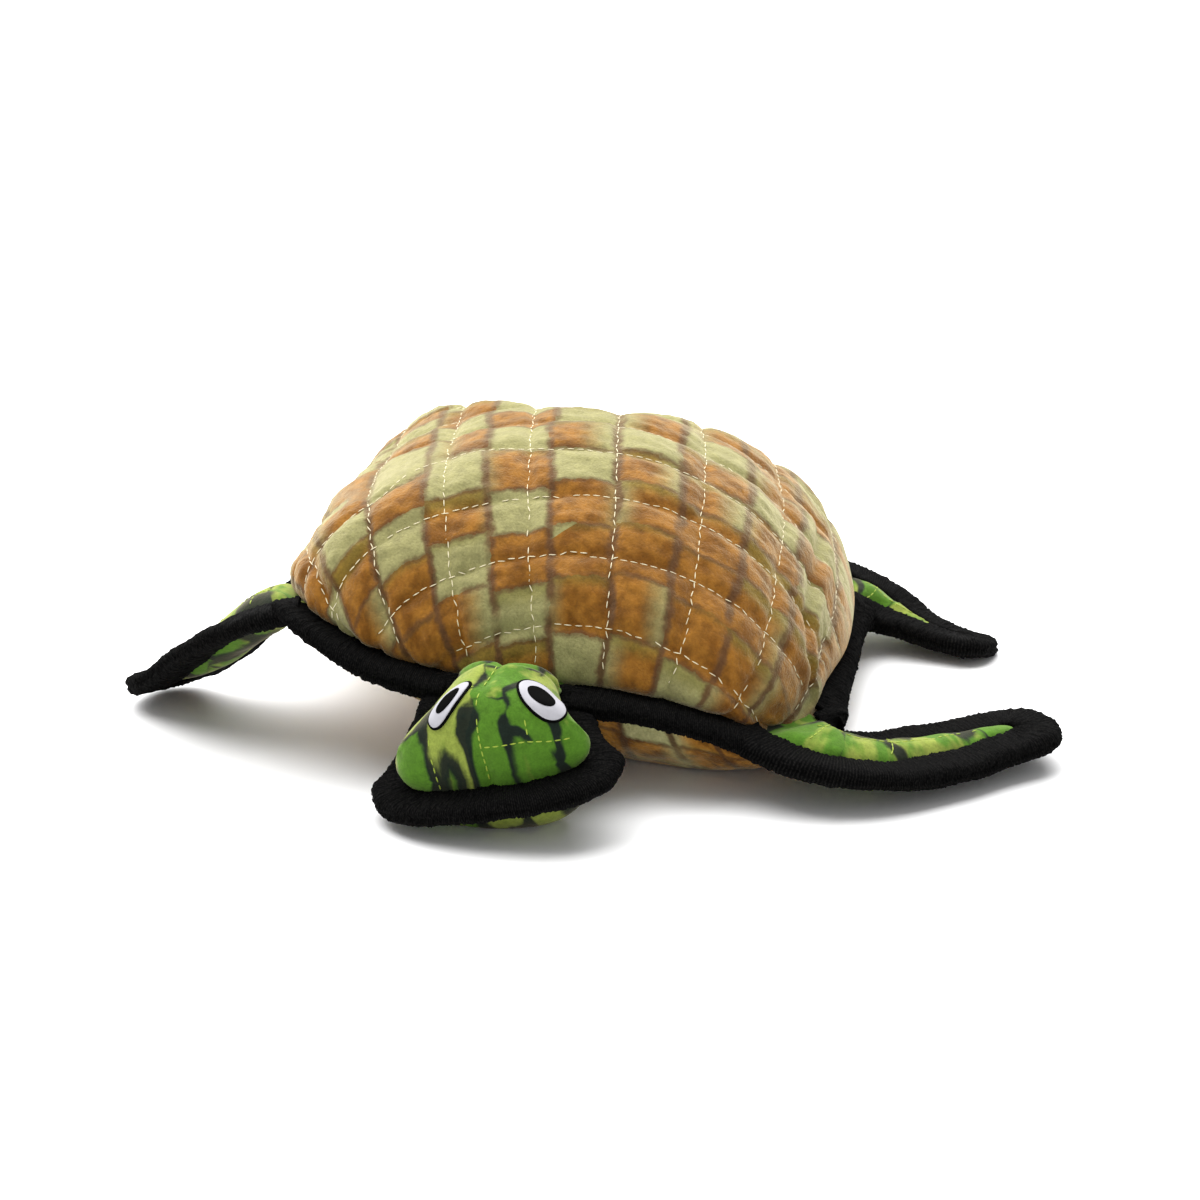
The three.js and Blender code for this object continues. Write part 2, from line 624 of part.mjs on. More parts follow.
// Folded tape: its section as [inset from the edge, height off the seam's sheet, depth beside the neck]
const TAPE_FOLD = TAPE_WIDTH / 2 - TAPE_FOLD_DEPTH;
const TAPE_SECTION = [
  [TAPE_EDGE_INSET, TAPE_OUTER - TAPE_EDGE_BEVEL, 0],
  [0, TAPE_OUTER, TAPE_THICKNESS],
  [-TAPE_FOLD, TAPE_OUTER - TAPE_FOLD_BEVEL, TAPE_FOLD_BEVEL / 2],
  [-TAPE_WIDTH / 2, 0, 0],
  [-TAPE_FOLD, TAPE_FOLD_BEVEL - TAPE_OUTER, TAPE_FOLD_BEVEL / 2],
  [0, -TAPE_OUTER, TAPE_THICKNESS],
  [TAPE_EDGE_INSET, TAPE_EDGE_BEVEL - TAPE_OUTER, 0],
  [TAPE_EDGE_INSET, -TAPE_INNER, 0],
  [-FLANGE_REACH - TAPE_CLEARANCE, -TAPE_INNER, TAPE_THICKNESS],
  [-FLANGE_REACH - TAPE_CLEARANCE, TAPE_INNER, TAPE_THICKNESS],
  [TAPE_EDGE_INSET, TAPE_INNER, 0],
];
const TAPE_UPPER_LINING = TAPE_SECTION.length - 2;
const TAPE_END_FACES = THREE.ShapeUtils.triangulateShape(
  TAPE_SECTION.map(([inset, lift]) => new THREE.Vector2(inset, lift)),
  [],
);

// Point of the tape on the straight stretch between two stations of the covers, so that it follows them.
function facetPoint(share, inset, lift, depthBesideNeck = 0) {
  const wrapped = share - Math.floor(share);
  const found = edgeShares.findIndex((station) => station > wrapped);
  const next = found < 0 ? edgeShares.length : found;
  const [from, to] = [edgeShares[next - 1], next < edgeShares.length ? edgeShares[next] : 1];
  const seat = (station) => (
    seatedOnSheet(behindRoots(seamPoint(station, inset), 0, depthBesideNeck), lift)
  );
  const [start, end] = [seat(from), seat(to)];
  return start.lerp(end, (wrapped - from) / (to - from));
}

// Share of a turn where the seam, moved inwards, meets the plane that ends a strip of tape.
function shareAtPlane(low, high, inset, distance) {
  let [inside, outside] = [low, high];
  for (let step = 0; step < HALVINGS; step += 1) {
    const middle = (inside + outside) / 2;
    if (distance(facetPoint(middle, inset, 0)) > 0) outside = middle;
    else inside = middle;
  }
  return (inside + outside) / 2;
}

// Distance past the plane where tape has to stop before a limb.
function pastTapeEnd(root) {
  if (root === neckRoot) {
    const clear = root.halfWidth + TAPE_WIDTH / 2 + BUTT_GAP;
    return (point) => clear - Math.abs(alongRoot(point, root));
  }
  return (point) => beyondRoot(point, root) + ROOT_SETBACK + TAPE_END_GAP;
}

// Strip of body tape from one limb's root to the next, counted towards rising degrees.
function bodyTape(rootBefore, rootAfter, fromDegrees, toDegrees) {
  const from = fromDegrees / 360;
  const to = toDegrees / 360;
  const middle = (from + to) / 2;
  const starts = TAPE_SECTION.map(([inset]) => shareAtPlane(middle, from, inset, pastTapeEnd(rootBefore)));
  const ends = TAPE_SECTION.map(([inset]) => shareAtPlane(middle, to, inset, pastTapeEnd(rootAfter)));
  const turns = [-1, 0, 1].flatMap((turn) => edgeShares.map((share) => share + turn));
  const between = turns.filter((share) => share > Math.min(...starts) && share < Math.max(...ends));
  const rings = [from, ...between, to].map((share) => TAPE_SECTION.map(([inset, lift, depth], i) => (
    facetPoint(THREE.MathUtils.clamp(share, starts[i], ends[i]), inset, lift, depth)
  )));
  return skin(rings, [], TAPE_END_FACES, TAPE_UPPER_LINING);
}

// Blade: the bent middle surface of a limb. It carries the flat sewing pattern, with u along the
// limb from the root line, s across it and h off its upper face.
class Blade {
  constructor(root, limb) {
    const slope = THREE.MathUtils.degToRad(limb.rootSlope);
    const across = new THREE.Vector3().crossVectors(UP, root.outwards);
    this.rootAcross = root.along.clone().multiplyScalar(Math.sign(across.dot(root.along)));
    const rise = new THREE.Vector3().crossVectors(root.outwards, this.rootAcross);
    const direction = root.outwards.clone().multiplyScalar(Math.cos(slope));
    direction.addScaledVector(rise, Math.sin(slope));
    const tip = root.middle.clone().add(new THREE.Vector3(...limb.reach));
    const nearTip = tip.clone().sub(new THREE.Vector3(...limb.tipHandle));
    const nearRoot = root.middle.clone().addScaledVector(direction, limb.rootHandle);
    this.spine = new THREE.CubicBezierCurve3(root.middle, nearRoot, nearTip, tip);
    this.length = this.spine.getLength();
    const level = new THREE.Vector3().crossVectors(UP, direction).normalize();
    const turn = new THREE.Vector3().crossVectors(level, this.rootAcross).dot(direction);
    this.rootRoll = Math.asin(THREE.MathUtils.clamp(turn, -1, 1));
    this.tipRoll = THREE.MathUtils.degToRad(limb.tipRoll);
  }

  frameAt(u) {
    const share = THREE.MathUtils.clamp(u / this.length, 0, 1);
    const tangent = this.spine.getTangentAt(share);
    const origin = this.spine.getPointAt(share).addScaledVector(tangent, u - share * this.length);
    const rolled = THREE.MathUtils.smoothstep(share, 0, ROLL_END_SHARE);
    const roll = THREE.MathUtils.lerp(this.rootRoll, this.tipRoll, rolled);
    const across = new THREE.Vector3().crossVectors(UP, tangent).normalize().applyAxisAngle(tangent, roll);
    const normal = new THREE.Vector3().crossVectors(tangent, across);
    return { origin, across, normal };
  }

  at(u, s, h) {
    const { origin, across, normal } = this.frameAt(u);
    return origin.addScaledVector(across, s).addScaledVector(normal, h);
  }
}

// Sewing pattern of a limb: straight sides that taper or flare, then a rounded end.
class Pattern {
  constructor(blade, root, limb, outline) {
    Object.assign(this, { blade, limb }, outline);
    this.rootHalfWidth = root.halfWidth;
    this.sideLength = blade.length - limb.tipDepth;
  }

  halfWidth(u) {
    const share = THREE.MathUtils.clamp(u / this.sideLength, 0, 1) ** this.taperPower;
    return THREE.MathUtils.lerp(this.rootHalfWidth, this.limb.tipHalfWidth, share);
  }

  // Half of a width, or a depth, that is left inside an inset.
  inside(size, inset) {
    return Math.max(size - inset, SLIVER_AT_EDGE - SLIVER_FALL * inset);
  }

  // Half of the outline, from the root to the middle of the tip.
  halfOutline(inset, rootU) {
    const step = this.sideLength / LIMB_SIDE_POINTS;
    const even = Array.from({ length: LIMB_SIDE_POINTS - 1 }, (_, k) => step * (k + 1));
    const stations = rootU < TAPE_START ? [rootU, TAPE_START, ...even] : [rootU, ...even];
    const sides = stations.map((u) => [u, this.inside(this.halfWidth(u), inset)]);
    const end = Array.from({ length: LIMB_END_POINTS + 1 }, (_, k) => {
      const angle = (Math.PI / 2) * (k / LIMB_END_POINTS);
      const ahead = this.inside(this.limb.tipDepth, inset) * Math.sin(angle) ** (2 / this.endPower);
      const aside = k === LIMB_END_POINTS ? 0 : Math.cos(angle) ** (2 / this.endPower);
      return [this.sideLength + ahead, this.inside(this.limb.tipHalfWidth, inset) * aside];
    });
    return [...sides, ...end];
  }

  // Whole outline, once round, with three more points along the root.
  outline(inset, rootU) {
    const half = this.halfOutline(inset, rootU);
    const back = half.slice(0, -1).reverse().map(([u, s]) => [u, -s]);
    const rootHalf = half[0][1];
    return [...half, ...back, [rootU, -rootHalf / 2], [rootU, 0], [rootU, rootHalf / 2]];
  }

  // Flat ring at an inset and a height off the blade.
  ring(inset, height, rootU) {
    return this.outline(inset, rootU).map(([u, s]) => this.blade.at(u, s, height));
  }

  // Rings of a stuffed side from its ridge to its stitching, for a layer under the outside.
  swell(side, layerDepth, foot) {
    const rootU = NOSE_RADIUS + layerDepth;
    const edge = this.outline(STITCH_INSET + layerDepth, rootU);
    const [ridgeStart, ridgeEnd] = this.ridge();
    const { lastTurn, cheek } = this.edgeForm(side);
    const widest = Math.max(...edge.map(([, s]) => s));
    const rings = Array.from({ length: this.rings + 1 }, (_, k) => {
      const angle = lastTurn * (k / this.rings);
      const share = Math.sin(angle) / Math.sin(lastTurn);
      const bulge = 1 + (cheek / widest) * (k / this.rings) ** 2;
      return edge.map(([u, s]) => {
        const middle = THREE.MathUtils.clamp(u, ridgeStart, ridgeEnd);
        const rise = Math.max(0, this.rise(side, middle) - layerDepth) * Math.cos(angle);
        const height = Math.max(foot, rise);
        return this.blade.at(middle + (u - middle) * share, s * share * bulge, side * height);
      });
    });
    return [...rings, ...this.tuck(side, layerDepth, foot, rootU)];
  }
}

class FlipperPattern extends Pattern {
  ridge() {
    return [this.sideLength * FLIPPER_RIDGE_FROM, this.sideLength - STITCH_INSET / 2];
  }

  rise(side, u) {
    const full = side > 0 ? this.limb.topRise : this.limb.underRise;
    return full * (1 - FLIPPER_THIN_SHARE * (u / this.blade.length) ** FLIPPER_THIN_POWER);
  }

  edgeForm() {
    return { lastTurn: Math.PI / 2, cheek: 0 };
  }

  tuck() {
    return [];
  }
}

class HeadPattern extends Pattern {
  ridge() {
    return [this.sideLength * HEAD_RIDGE_FROM, this.sideLength * HEAD_RIDGE_TO];
  }

  rise(side, u) {
    const [atNeck, full, fullAt] = side < 0
      ? [CHIN_SHARE_AT_NECK, this.limb.underRise, this.sideLength]
      : [CROWN_SHARE_AT_NECK, this.limb.topRise, this.sideLength * HEAD_RIDGE_TO];
    return full * THREE.MathUtils.lerp(atNeck, 1, u / fullAt);
  }

  edgeForm(side) {
    return { lastTurn: THREE.MathUtils.degToRad(CHEEK_TURN), cheek: side > 0 ? CROWN_CHEEK : CHIN_CHEEK };
  }

  // Rings that lead from the cheeks back under them, over the tape and down to the stitching.
  tuck(side, layerDepth, foot, rootU) {
    const inset = STITCH_INSET + layerDepth;
    const overTape = TAPE_OUTER + TAPE_CLEARANCE;
    return [this.ring(inset, side * overTape, rootU), this.ring(inset, side * foot, rootU)];
  }
}

// Cloth panel of one face of a limb, with its seam allowance and the rounded root that hinges.
function limbPanel(pattern, side) {
  const top = SEAM_ALLOWANCE + LAYER_GAP / 2;
  const under = LAYER_GAP / 2;
  return skin(
    [...pattern.swell(side, 0, top), pattern.ring(-FLANGE_REACH, side * top, -NOSE_RADIUS * TOP_NOSE_SHARE)],
    [
      ...pattern.swell(side, FLEECE, under),
      pattern.ring(-FLANGE_REACH, side * under, -NOSE_RADIUS * INNER_NOSE_SHARE),
    ],
  );
}

function limbStuffing(pattern) {
  const depth = FLEECE + LIMB_STUFFING_GAP;
  return skin(pattern.swell(1, depth, STUFFING_EDGE), pattern.swell(-1, depth, STUFFING_EDGE));
}

function limbTape(pattern) {
  const rails = TAPE_SECTION.map(([inset, lift]) => {
    const half = pattern.halfOutline(inset, TAPE_START);
    const back = half.slice(0, -1).reverse().map(([u, s]) => [u, -s]);
    return [...half, ...back].map(([u, s]) => pattern.blade.at(u, s, lift));
  });
  return skin(rails[0].map((_, k) => rails.map((rail) => rail[k])), [], TAPE_END_FACES, TAPE_UPPER_LINING);
}

// Thin slab that stands on a blade's middle line, for cutting its upper cover in two.
function middleSlab(blade, halfThickness, high) {
  const low = -FLEECE;
  const half = halfThickness;
  const corners = [[-half, low], [half, low], [half, high], [-half, high]];
  const rings = Array.from({ length: SLAB_STATIONS + 1 }, (_, k) => {
    const u = -TAPE_WIDTH + ((blade.length + 2 * TAPE_WIDTH) * k) / SLAB_STATIONS;
    return corners.map(([s, h]) => blade.at(u, s, h));
  });
  const lastSide = corners.length - 1;
  return skin(rings, [], [[0, 1, 2], [0, 2, 3]], lastSide);
}

// Where a ray meets a surface, cast back along an axis that points away from it.
function meet(surface, point, axis) {
  const start = point.clone().addScaledVector(axis, RAY_START);
  return new THREE.Raycaster(start, axis.clone().negate()).intersectObject(surface)[0];
}

// Oval patch laid on a surface along the direction that the surface faces there.
function surfacePatch(surface, centre, roughAxis, turn, halfLength, halfWidth, gap) {
  const axis = facing(surface, centre, roughAxis, halfWidth);
  const across = new THREE.Vector3().crossVectors(UP, axis).normalize().applyAxisAngle(axis, turn);
  const along = new THREE.Vector3().crossVectors(axis, across);
  const middle = meet(surface, centre, roughAxis).point;
  const ring = (share, lift) => Array.from({ length: PATCH_POINTS }, (_, k) => {
    const angle = (2 * Math.PI * k) / PATCH_POINTS;
    const aside = halfWidth * share * Math.cos(angle);
    const ahead = halfLength * share * Math.sin(angle);
    const point = middle.clone().addScaledVector(across, aside).addScaledVector(along, ahead);
    return meet(surface, point, axis).point.addScaledVector(axis, lift);
  });
  const rings = (lift) => PATCH_SHARES.map((share) => ring(share, lift));
  return skin(rings(gap + PATCH_THICKNESS), rings(gap));
}

// Mean direction that a surface faces round the place where a ray meets it.
function facing(surface, centre, axis, radius) {
  const middle = meet(surface, centre, axis).point;
  const across = new THREE.Vector3().crossVectors(UP, axis).normalize();
  const mean = new THREE.Vector3();
  for (let k = 0; k < PATCH_POINTS; k += 1) {
    const spoke = across.clone().applyAxisAngle(axis, (2 * Math.PI * k) / PATCH_POINTS);
    mean.add(meet(surface, middle.clone().addScaledVector(spoke, radius), axis).face.normal);
  }
  return mean.normalize();
}

function buildBody() {
  addPiece('shell_fleece', shellFleece(), COLOURS.shell);
  addPiece('shell_wadding', shellWadding(), COLOURS.wadding);
  addPiece('belly_fleece', bellyFleece(), COLOURS.belly);
  addPiece('body_stuffing', bodyStuffing(), COLOURS.stuffing);
  addPiece('squeaker_pocket', squeakerPocket(), COLOURS.pocket);
  addPiece('squeaker_bulb', squeakerBulb(), COLOURS.rubber, 0.5);
  addPiece('squeaker_reed', squeakerReed(), COLOURS.reed, 0.4);
}

function buildBodyTapes() {
  const roots = flipperRoots;
  const degrees = (name, end) => FLIPPERS[name][end];
  const strips = [
    ['tape_left_side', roots.left_front_flipper, roots.left_rear_flipper,
      degrees('left_front_flipper', 'rootTo'), degrees('left_rear_flipper', 'rootFrom')],
    ['tape_rear', roots.left_rear_flipper, roots.right_rear_flipper,
      degrees('left_rear_flipper', 'rootTo'), degrees('right_rear_flipper', 'rootFrom')],
    ['tape_right_side', roots.right_rear_flipper, roots.right_front_flipper,
      degrees('right_rear_flipper', 'rootTo'), degrees('right_front_flipper', 'rootFrom')],
    ['tape_front_right', roots.right_front_flipper, neckRoot,
      degrees('right_front_flipper', 'rootTo'), HEAD.rootFrom],
    ['tape_front_left', neckRoot, roots.left_front_flipper,
      HEAD.rootTo, 360 + degrees('left_front_flipper', 'rootFrom')],
  ];
  for (const [name, before, after, from, to] of strips) {
    addPiece(name, bodyTape(before, after, from, to), COLOURS.tape);
  }
}

function buildFlippers() {
  for (const [name, limb] of Object.entries(FLIPPERS)) {
    const root = flipperRoots[name];
    const pattern = new FlipperPattern(new Blade(root, limb), root, limb, FLIPPER_OUTLINE);
    addPiece(`${name}_top`, limbPanel(pattern, 1), COLOURS.limb);
    addPiece(`${name}_underside`, limbPanel(pattern, -1), COLOURS.limb);
    addPiece(`${name}_stuffing`, limbStuffing(pattern), COLOURS.stuffing);
    addPiece(`${name}_tape`, limbTape(pattern), COLOURS.tape);
  }
}

function buildHead() {
  const blade = new Blade(neckRoot, HEAD);
  const pattern = new HeadPattern(blade, neckRoot, HEAD, HEAD_OUTLINE);
  const crown = limbPanel(pattern, 1);
  const slab = middleSlab(blade, LAYER_GAP / 2, HEAD.topRise + FLEECE);
  const halves = toSolid(crown).subtract(toSolid(slab)).decompose();
  halves.sort((a, b) => b.boundingBox().max[0] - a.boundingBox().max[0]);
  addPiece('head_crown_left', toGeometry(halves[0]), COLOURS.limb);
  addPiece('head_crown_right', toGeometry(halves[1]), COLOURS.limb);
  addPiece('head_chin', limbPanel(pattern, -1), COLOURS.limb);
  addPiece('head_stuffing', limbStuffing(pattern), COLOURS.stuffing);
  addPiece('head_tape', limbTape(pattern), COLOURS.tape);
  buildEyes(blade, crown);
}

function buildEyes(blade, crown) {
  const surface = new THREE.Mesh(crown, new THREE.MeshStandardMaterial({ side: THREE.DoubleSide }));
  for (const [side, sign] of [['left', 1], ['right', -1]]) {
    const centre = blade.at(EYE_ALONG, sign * EYE_SPREAD, HEAD.topRise / 2);
    const { across, normal } = blade.frameAt(EYE_ALONG);
    const ahead = new THREE.Vector3().crossVectors(across, normal);
    const axis = normal.clone().multiplyScalar(EYE_FACING.up).addScaledVector(ahead, EYE_FACING.ahead);
    axis.addScaledVector(across, sign * EYE_FACING.aside).normalize();
    const turn = sign * THREE.MathUtils.degToRad(EYE_TURN);
    const patch = surfacePatch(surface, centre, axis, turn, EYE_LENGTH / 2, EYE_WIDTH / 2, PATCH_GAP);
    const white = addPiece(`eye_white_${side}`, patch, COLOURS.white, 0.6);
    const pupilLength = (EYE_LENGTH / 2) * PUPIL_SHARE;
    const pupilWidth = (EYE_WIDTH / 2) * PUPIL_SHARE;
    white.material.side = THREE.DoubleSide;
    const pupil = surfacePatch(white, centre, axis, turn, pupilLength, pupilWidth, LAYER_GAP);
    addPiece(`eye_pupil_${side}`, pupil, COLOURS.pupil, 0.6);
  }
}

buildBody();
buildBodyTapes();
buildFlippers();
buildHead();

export default turtle;
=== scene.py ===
"""Looks of a stuffed sea turtle, a soft squeaking toy for dogs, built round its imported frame.

Shapes are worked out in millimetres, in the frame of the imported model: the head points to -Y, the
turtle's left side is +X and the belly rests on the floor at Z = 0. Meshes are made in metres.
"""

import logging
import math
from dataclasses import dataclass
from enum import Enum
from functools import partial
from typing import Callable, Iterable, Sequence

import bpy
import numpy as np
from mathutils import Matrix, Vector
from mathutils.bvhtree import BVHTree


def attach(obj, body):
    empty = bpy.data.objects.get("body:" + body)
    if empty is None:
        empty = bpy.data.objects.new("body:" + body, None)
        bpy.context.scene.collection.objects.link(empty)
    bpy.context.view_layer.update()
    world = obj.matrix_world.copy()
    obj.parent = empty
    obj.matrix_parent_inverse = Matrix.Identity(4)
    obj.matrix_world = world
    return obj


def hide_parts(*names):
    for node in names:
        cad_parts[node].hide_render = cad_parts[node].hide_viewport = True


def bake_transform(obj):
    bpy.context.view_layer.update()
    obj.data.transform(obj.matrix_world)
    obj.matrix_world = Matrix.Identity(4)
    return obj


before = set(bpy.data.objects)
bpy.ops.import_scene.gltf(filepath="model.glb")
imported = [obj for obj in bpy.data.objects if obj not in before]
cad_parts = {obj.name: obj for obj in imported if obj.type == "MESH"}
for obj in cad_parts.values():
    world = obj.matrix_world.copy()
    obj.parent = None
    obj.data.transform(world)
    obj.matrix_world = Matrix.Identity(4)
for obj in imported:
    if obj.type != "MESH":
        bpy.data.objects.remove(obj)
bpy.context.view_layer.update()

logging.basicConfig(level=logging.INFO, format="%(message)s")
log = logging.getLogger("turtle")

MM = 0.001
UP = np.array([0.0, 0.0, 1.0])

TAPE_WIDTH = 19.0
TAPE_HALF_DEPTH = 4.45
TAPE_CLEARANCE = 0.5
COVER_INSET = 10.2
LIMB_COVER_INSET = 7.6
CLOTH_THICKNESS = 1.2
LEAST_HALF = 1.2
FLOOR_HOLDS = 1.0

# a limb's cover and tape start inside the body, so that no gap opens when the limb bends
LIMB_COVER_FROM = -9.0
LIMB_COVER_FULL = 6.0
LIMB_TAPE_FROM = -4.0

# every panel is cut from its own place on the printed cloth; the belly's is in halves of the body's cloth
BELLY_PRINT_AT = 4.0
UNDERSIDE_PRINT_AT = 140.0
LIMB_PRINT_FROM = 300.0
LIMB_PRINT_APART = 400.0

Points = np.ndarray
Socket = bpy.types.NodeSocket
Feeds = dict[int | str, object]
Add = Callable[..., Socket]


def unit(vectors: Points) -> Points:
    """Vectors of length 1 in the same directions."""
    return vectors / np.maximum(np.linalg.norm(vectors, axis=-1, keepdims=True), 1e-12)


def smoothstep(x: Points, low: float, high: float) -> Points:
    """Smooth ramp from 0 at low to 1 at high, the other way round where high is the lower."""
    t = np.clip((x - low) / (high - low), 0.0, 1.0)
    return t * t * (3.0 - 2.0 * t)


def distances(points: Points) -> Points:
    """How far along a row of points each of them lies."""
    return np.concatenate([[0.0], np.cumsum(np.linalg.norm(np.diff(points, axis=0), axis=1))])


def ripple(points: Points, wavelength: float, seed: int, waves: int = 7) -> Points:
    """Smooth wandering value between about -1 and 1 at each point, the same on each run.

    Args:
        points: places in millimetres, one a row.
        wavelength: the shortest distance between two crests, in millimetres.
        seed: number of the pattern.
        waves: how many plane waves are summed.

    Returns:
        One value for each point.
    """
    random = np.random.default_rng(seed)
    total = np.zeros(len(points))
    for _ in range(waves):
        direction = unit(random.normal(size=points.shape[1]))
        length = wavelength * random.uniform(1.0, 2.2)
        phase = random.uniform(0.0, 2.0 * math.pi)
        total += np.sin(points @ direction * (2.0 * math.pi / length) + phase)
    return total / math.sqrt(waves)


@dataclass(frozen=True)
class Root:
    """Straight line on which a limb is sewn into the seam of the shell."""

    middle: Points
    along: Points
    outwards: Points
    half_width: float

    def beyond(self, points: Points) -> Points:
        """How far points lie outside the root line, seen from above."""
        return (points[:, :2] - self.middle[:2]) @ self.outwards[:2]

    def aside(self, points: Points) -> Points:
        """How far points lie to either side of the root's middle, seen from above."""
        return np.abs((points[:, :2] - self.middle[:2]) @ self.along[:2])


@dataclass(frozen=True)
class ShellForm:
    """Plan, edge seam and crown of the shell, as sewn and stuffed."""

    half_width: float = 116.9
    front_reach: float = 108.2
    rear_reach: float = 112.5
    corner_power: float = 4.77
    crown_rise: float = 87.0
    crown_top_power: float = 1.84
    side_power_low: float = 1.85
    side_power_high: float = 1.7
    seam_heights: tuple[float, ...] = (18.5, 25.7, 29.9, 63.8, 54.5, 59.9, 38.0, 16.7)
    seam_mean: float = 39.6
    overhang: float = 13.0
    root_setback: float = 2.2
    root_softness: float = 2.5
    root_ease_from: float = 24.0
    root_ease_to: float = 2.0

    def reach(self, y: Points) -> Points:
        """Distance from the middle to the front or rear edge."""
        return np.where(y < 0.0, self.front_reach, self.rear_reach)

    def edge_share(self, x: Points, y: Points) -> Points:
        """How far out a point lies: 0 in the middle and 1 on the edge seam.

        Args:
            x: distances to the turtle's left, in millimetres.
            y: distances to the rear, in millimetres.

        Returns:
            One share for each point.
        """
        across = np.abs(x / self.half_width) ** self.corner_power
        along = np.abs(y / self.reach(y)) ** self.corner_power
        return (across + along) ** (1.0 / self.corner_power)

    def seam_height(self, x: Points, y: Points) -> Points:
        """Height of the edge seam over the floor on the side of a point.

        Args:
            x: distances to the turtle's left, in millimetres.
            y: distances to the rear, in millimetres.

        Returns:
            Heights in millimetres.
        """
        half = self.corner_power / 2.0
        sine = np.sign(y) * np.abs(y / self.reach(y)) ** half
        cosine = np.sign(x) * np.abs(x / self.half_width) ** half
        heights = np.array(self.seam_heights)
        count = len(heights)
        turn = np.mod(np.arctan2(sine, cosine) / (2.0 * math.pi) * count, count)
        i = np.floor(turn).astype(int) % count
        f = turn - np.floor(turn)
        a, b, c, d = (heights[(i + step) % count] for step in (-1, 0, 1, 2))
        slope_in, slope_out = (c - a) / 2.0, (d - b) / 2.0
        rising = b * (2 * f**3 - 3 * f**2 + 1) + slope_in * (f**3 - 2 * f**2 + f)
        return rising + c * (3 * f**2 - 2 * f**3) + slope_out * (f**3 - f**2)

    def sheet_height(self, x: Points, y: Points) -> Points:
        """Height of the seam's warped sheet, inside the edge too."""
        return self.seam_mean + (self.seam_height(x, y) - self.seam_mean) * self.edge_share(x, y) ** 2

    def edge_point(self, share: Points) -> Points:
        """Point of the edge seam, in plan, at a share of a turn from the left side to the rear.

        Args:
            share: shares of a turn.

        Returns:
            Points of the plan, in millimetres.
        """
        angle = share * 2.0 * math.pi
        x, y = np.cos(angle), np.sin(angle)
        return np.stack([x, y], -1) / self.edge_share(x, y)[:, None]

    def seam_point(self, share: Points, inset: Points, lift: Points) -> Points:
        """Point at an inset from the edge seam and a height off its sheet.

        Args:
            share: share of a turn, one for each point.
            inset: distance inwards from the seam, in plan.
            lift: height over the seam's sheet.

        Returns:
            Points in millimetres.
        """
        step = 1e-4
        ahead, behind = self.edge_point(share + step), self.edge_point(share - step)
        tangent = unit(ahead - behind)
        inwards = np.stack([-tangent[:, 1], tangent[:, 0]], -1)
        plan = self.edge_point(share) + inwards * np.broadcast_to(inset, share.shape)[:, None]
        z = self.sheet_height(plan[:, 0], plan[:, 1]) + lift
        return np.column_stack([plan, z])

    def root_line(self, start: float, end: float) -> Root:
        """Root line between two directions, in degrees round the shell from its left side.

        Args:
            start: direction of its one end.
            end: direction of its other end.

        Returns:
            The line between the two points of the edge seam.
        """
        plan = self.edge_point(np.array([start, end]) / 360.0)
        ends = np.column_stack([plan, self.seam_height(plan[:, 0], plan[:, 1])])
        along = ends[1] - ends[0]
        half_width = float(np.linalg.norm(along)) / 2.0
        outwards = unit(np.array([along[1], -along[0], 0.0]))
        return Root(ends.mean(0), unit(along), outwards, half_width)

    def lift(self, share: Points, power: Points) -> Points:
        """Height of the crown over the seam's sheet at a share of the way to the edge."""
        return self.crown_rise * (1.0 - np.clip(share, 0.0, 1.0) ** power) ** (1.0 / self.crown_top_power)

    def low_side(self, plan: Points) -> Points:
        """How much a point faces the side that the toy slumps on, from 0 to 1."""
        return (1.0 + plan[:, 0] / np.maximum(np.hypot(plan[:, 0], plan[:, 1]), 1e-6)) / 2.0

    def behind_roots(self, points: Points, roots: Iterable[Root]) -> Points:
        """Eases points back behind the limbs' root lines, so that the limbs can turn.

        Args:
            points: points of the body, in millimetres.
            roots: root lines to stay behind.

        Returns:
            The eased points.
        """
        eased = points.copy()
        for root in roots:
            excess = root.beyond(eased) + self.root_setback
            held = -self.root_softness * np.logaddexp(0.0, -excess / self.root_softness)
            weight = smoothstep(root.aside(eased), root.half_width + self.root_ease_from,
                                root.half_width + self.root_ease_to)
            eased[:, :2] += (weight * (held - excess))[:, None] * root.outwards[:2]
        return eased


@dataclass(frozen=True)
class LimbSizes:
    """How a limb leaves its root line, where its tip lies and how it is stuffed."""

    name: str
    root_from: float
    root_to: float
    root_slope: float
    root_handle: float
    reach: tuple[float, float, float]
    tip_handle: tuple[float, float, float]
    tip_roll: float
    tip_half_width: float
    tip_depth: float
    top_rise: float
    under_rise: float
    end_power: float = 2.4
    taper_power: float = 1.1
    ridge_from: float = 0.2


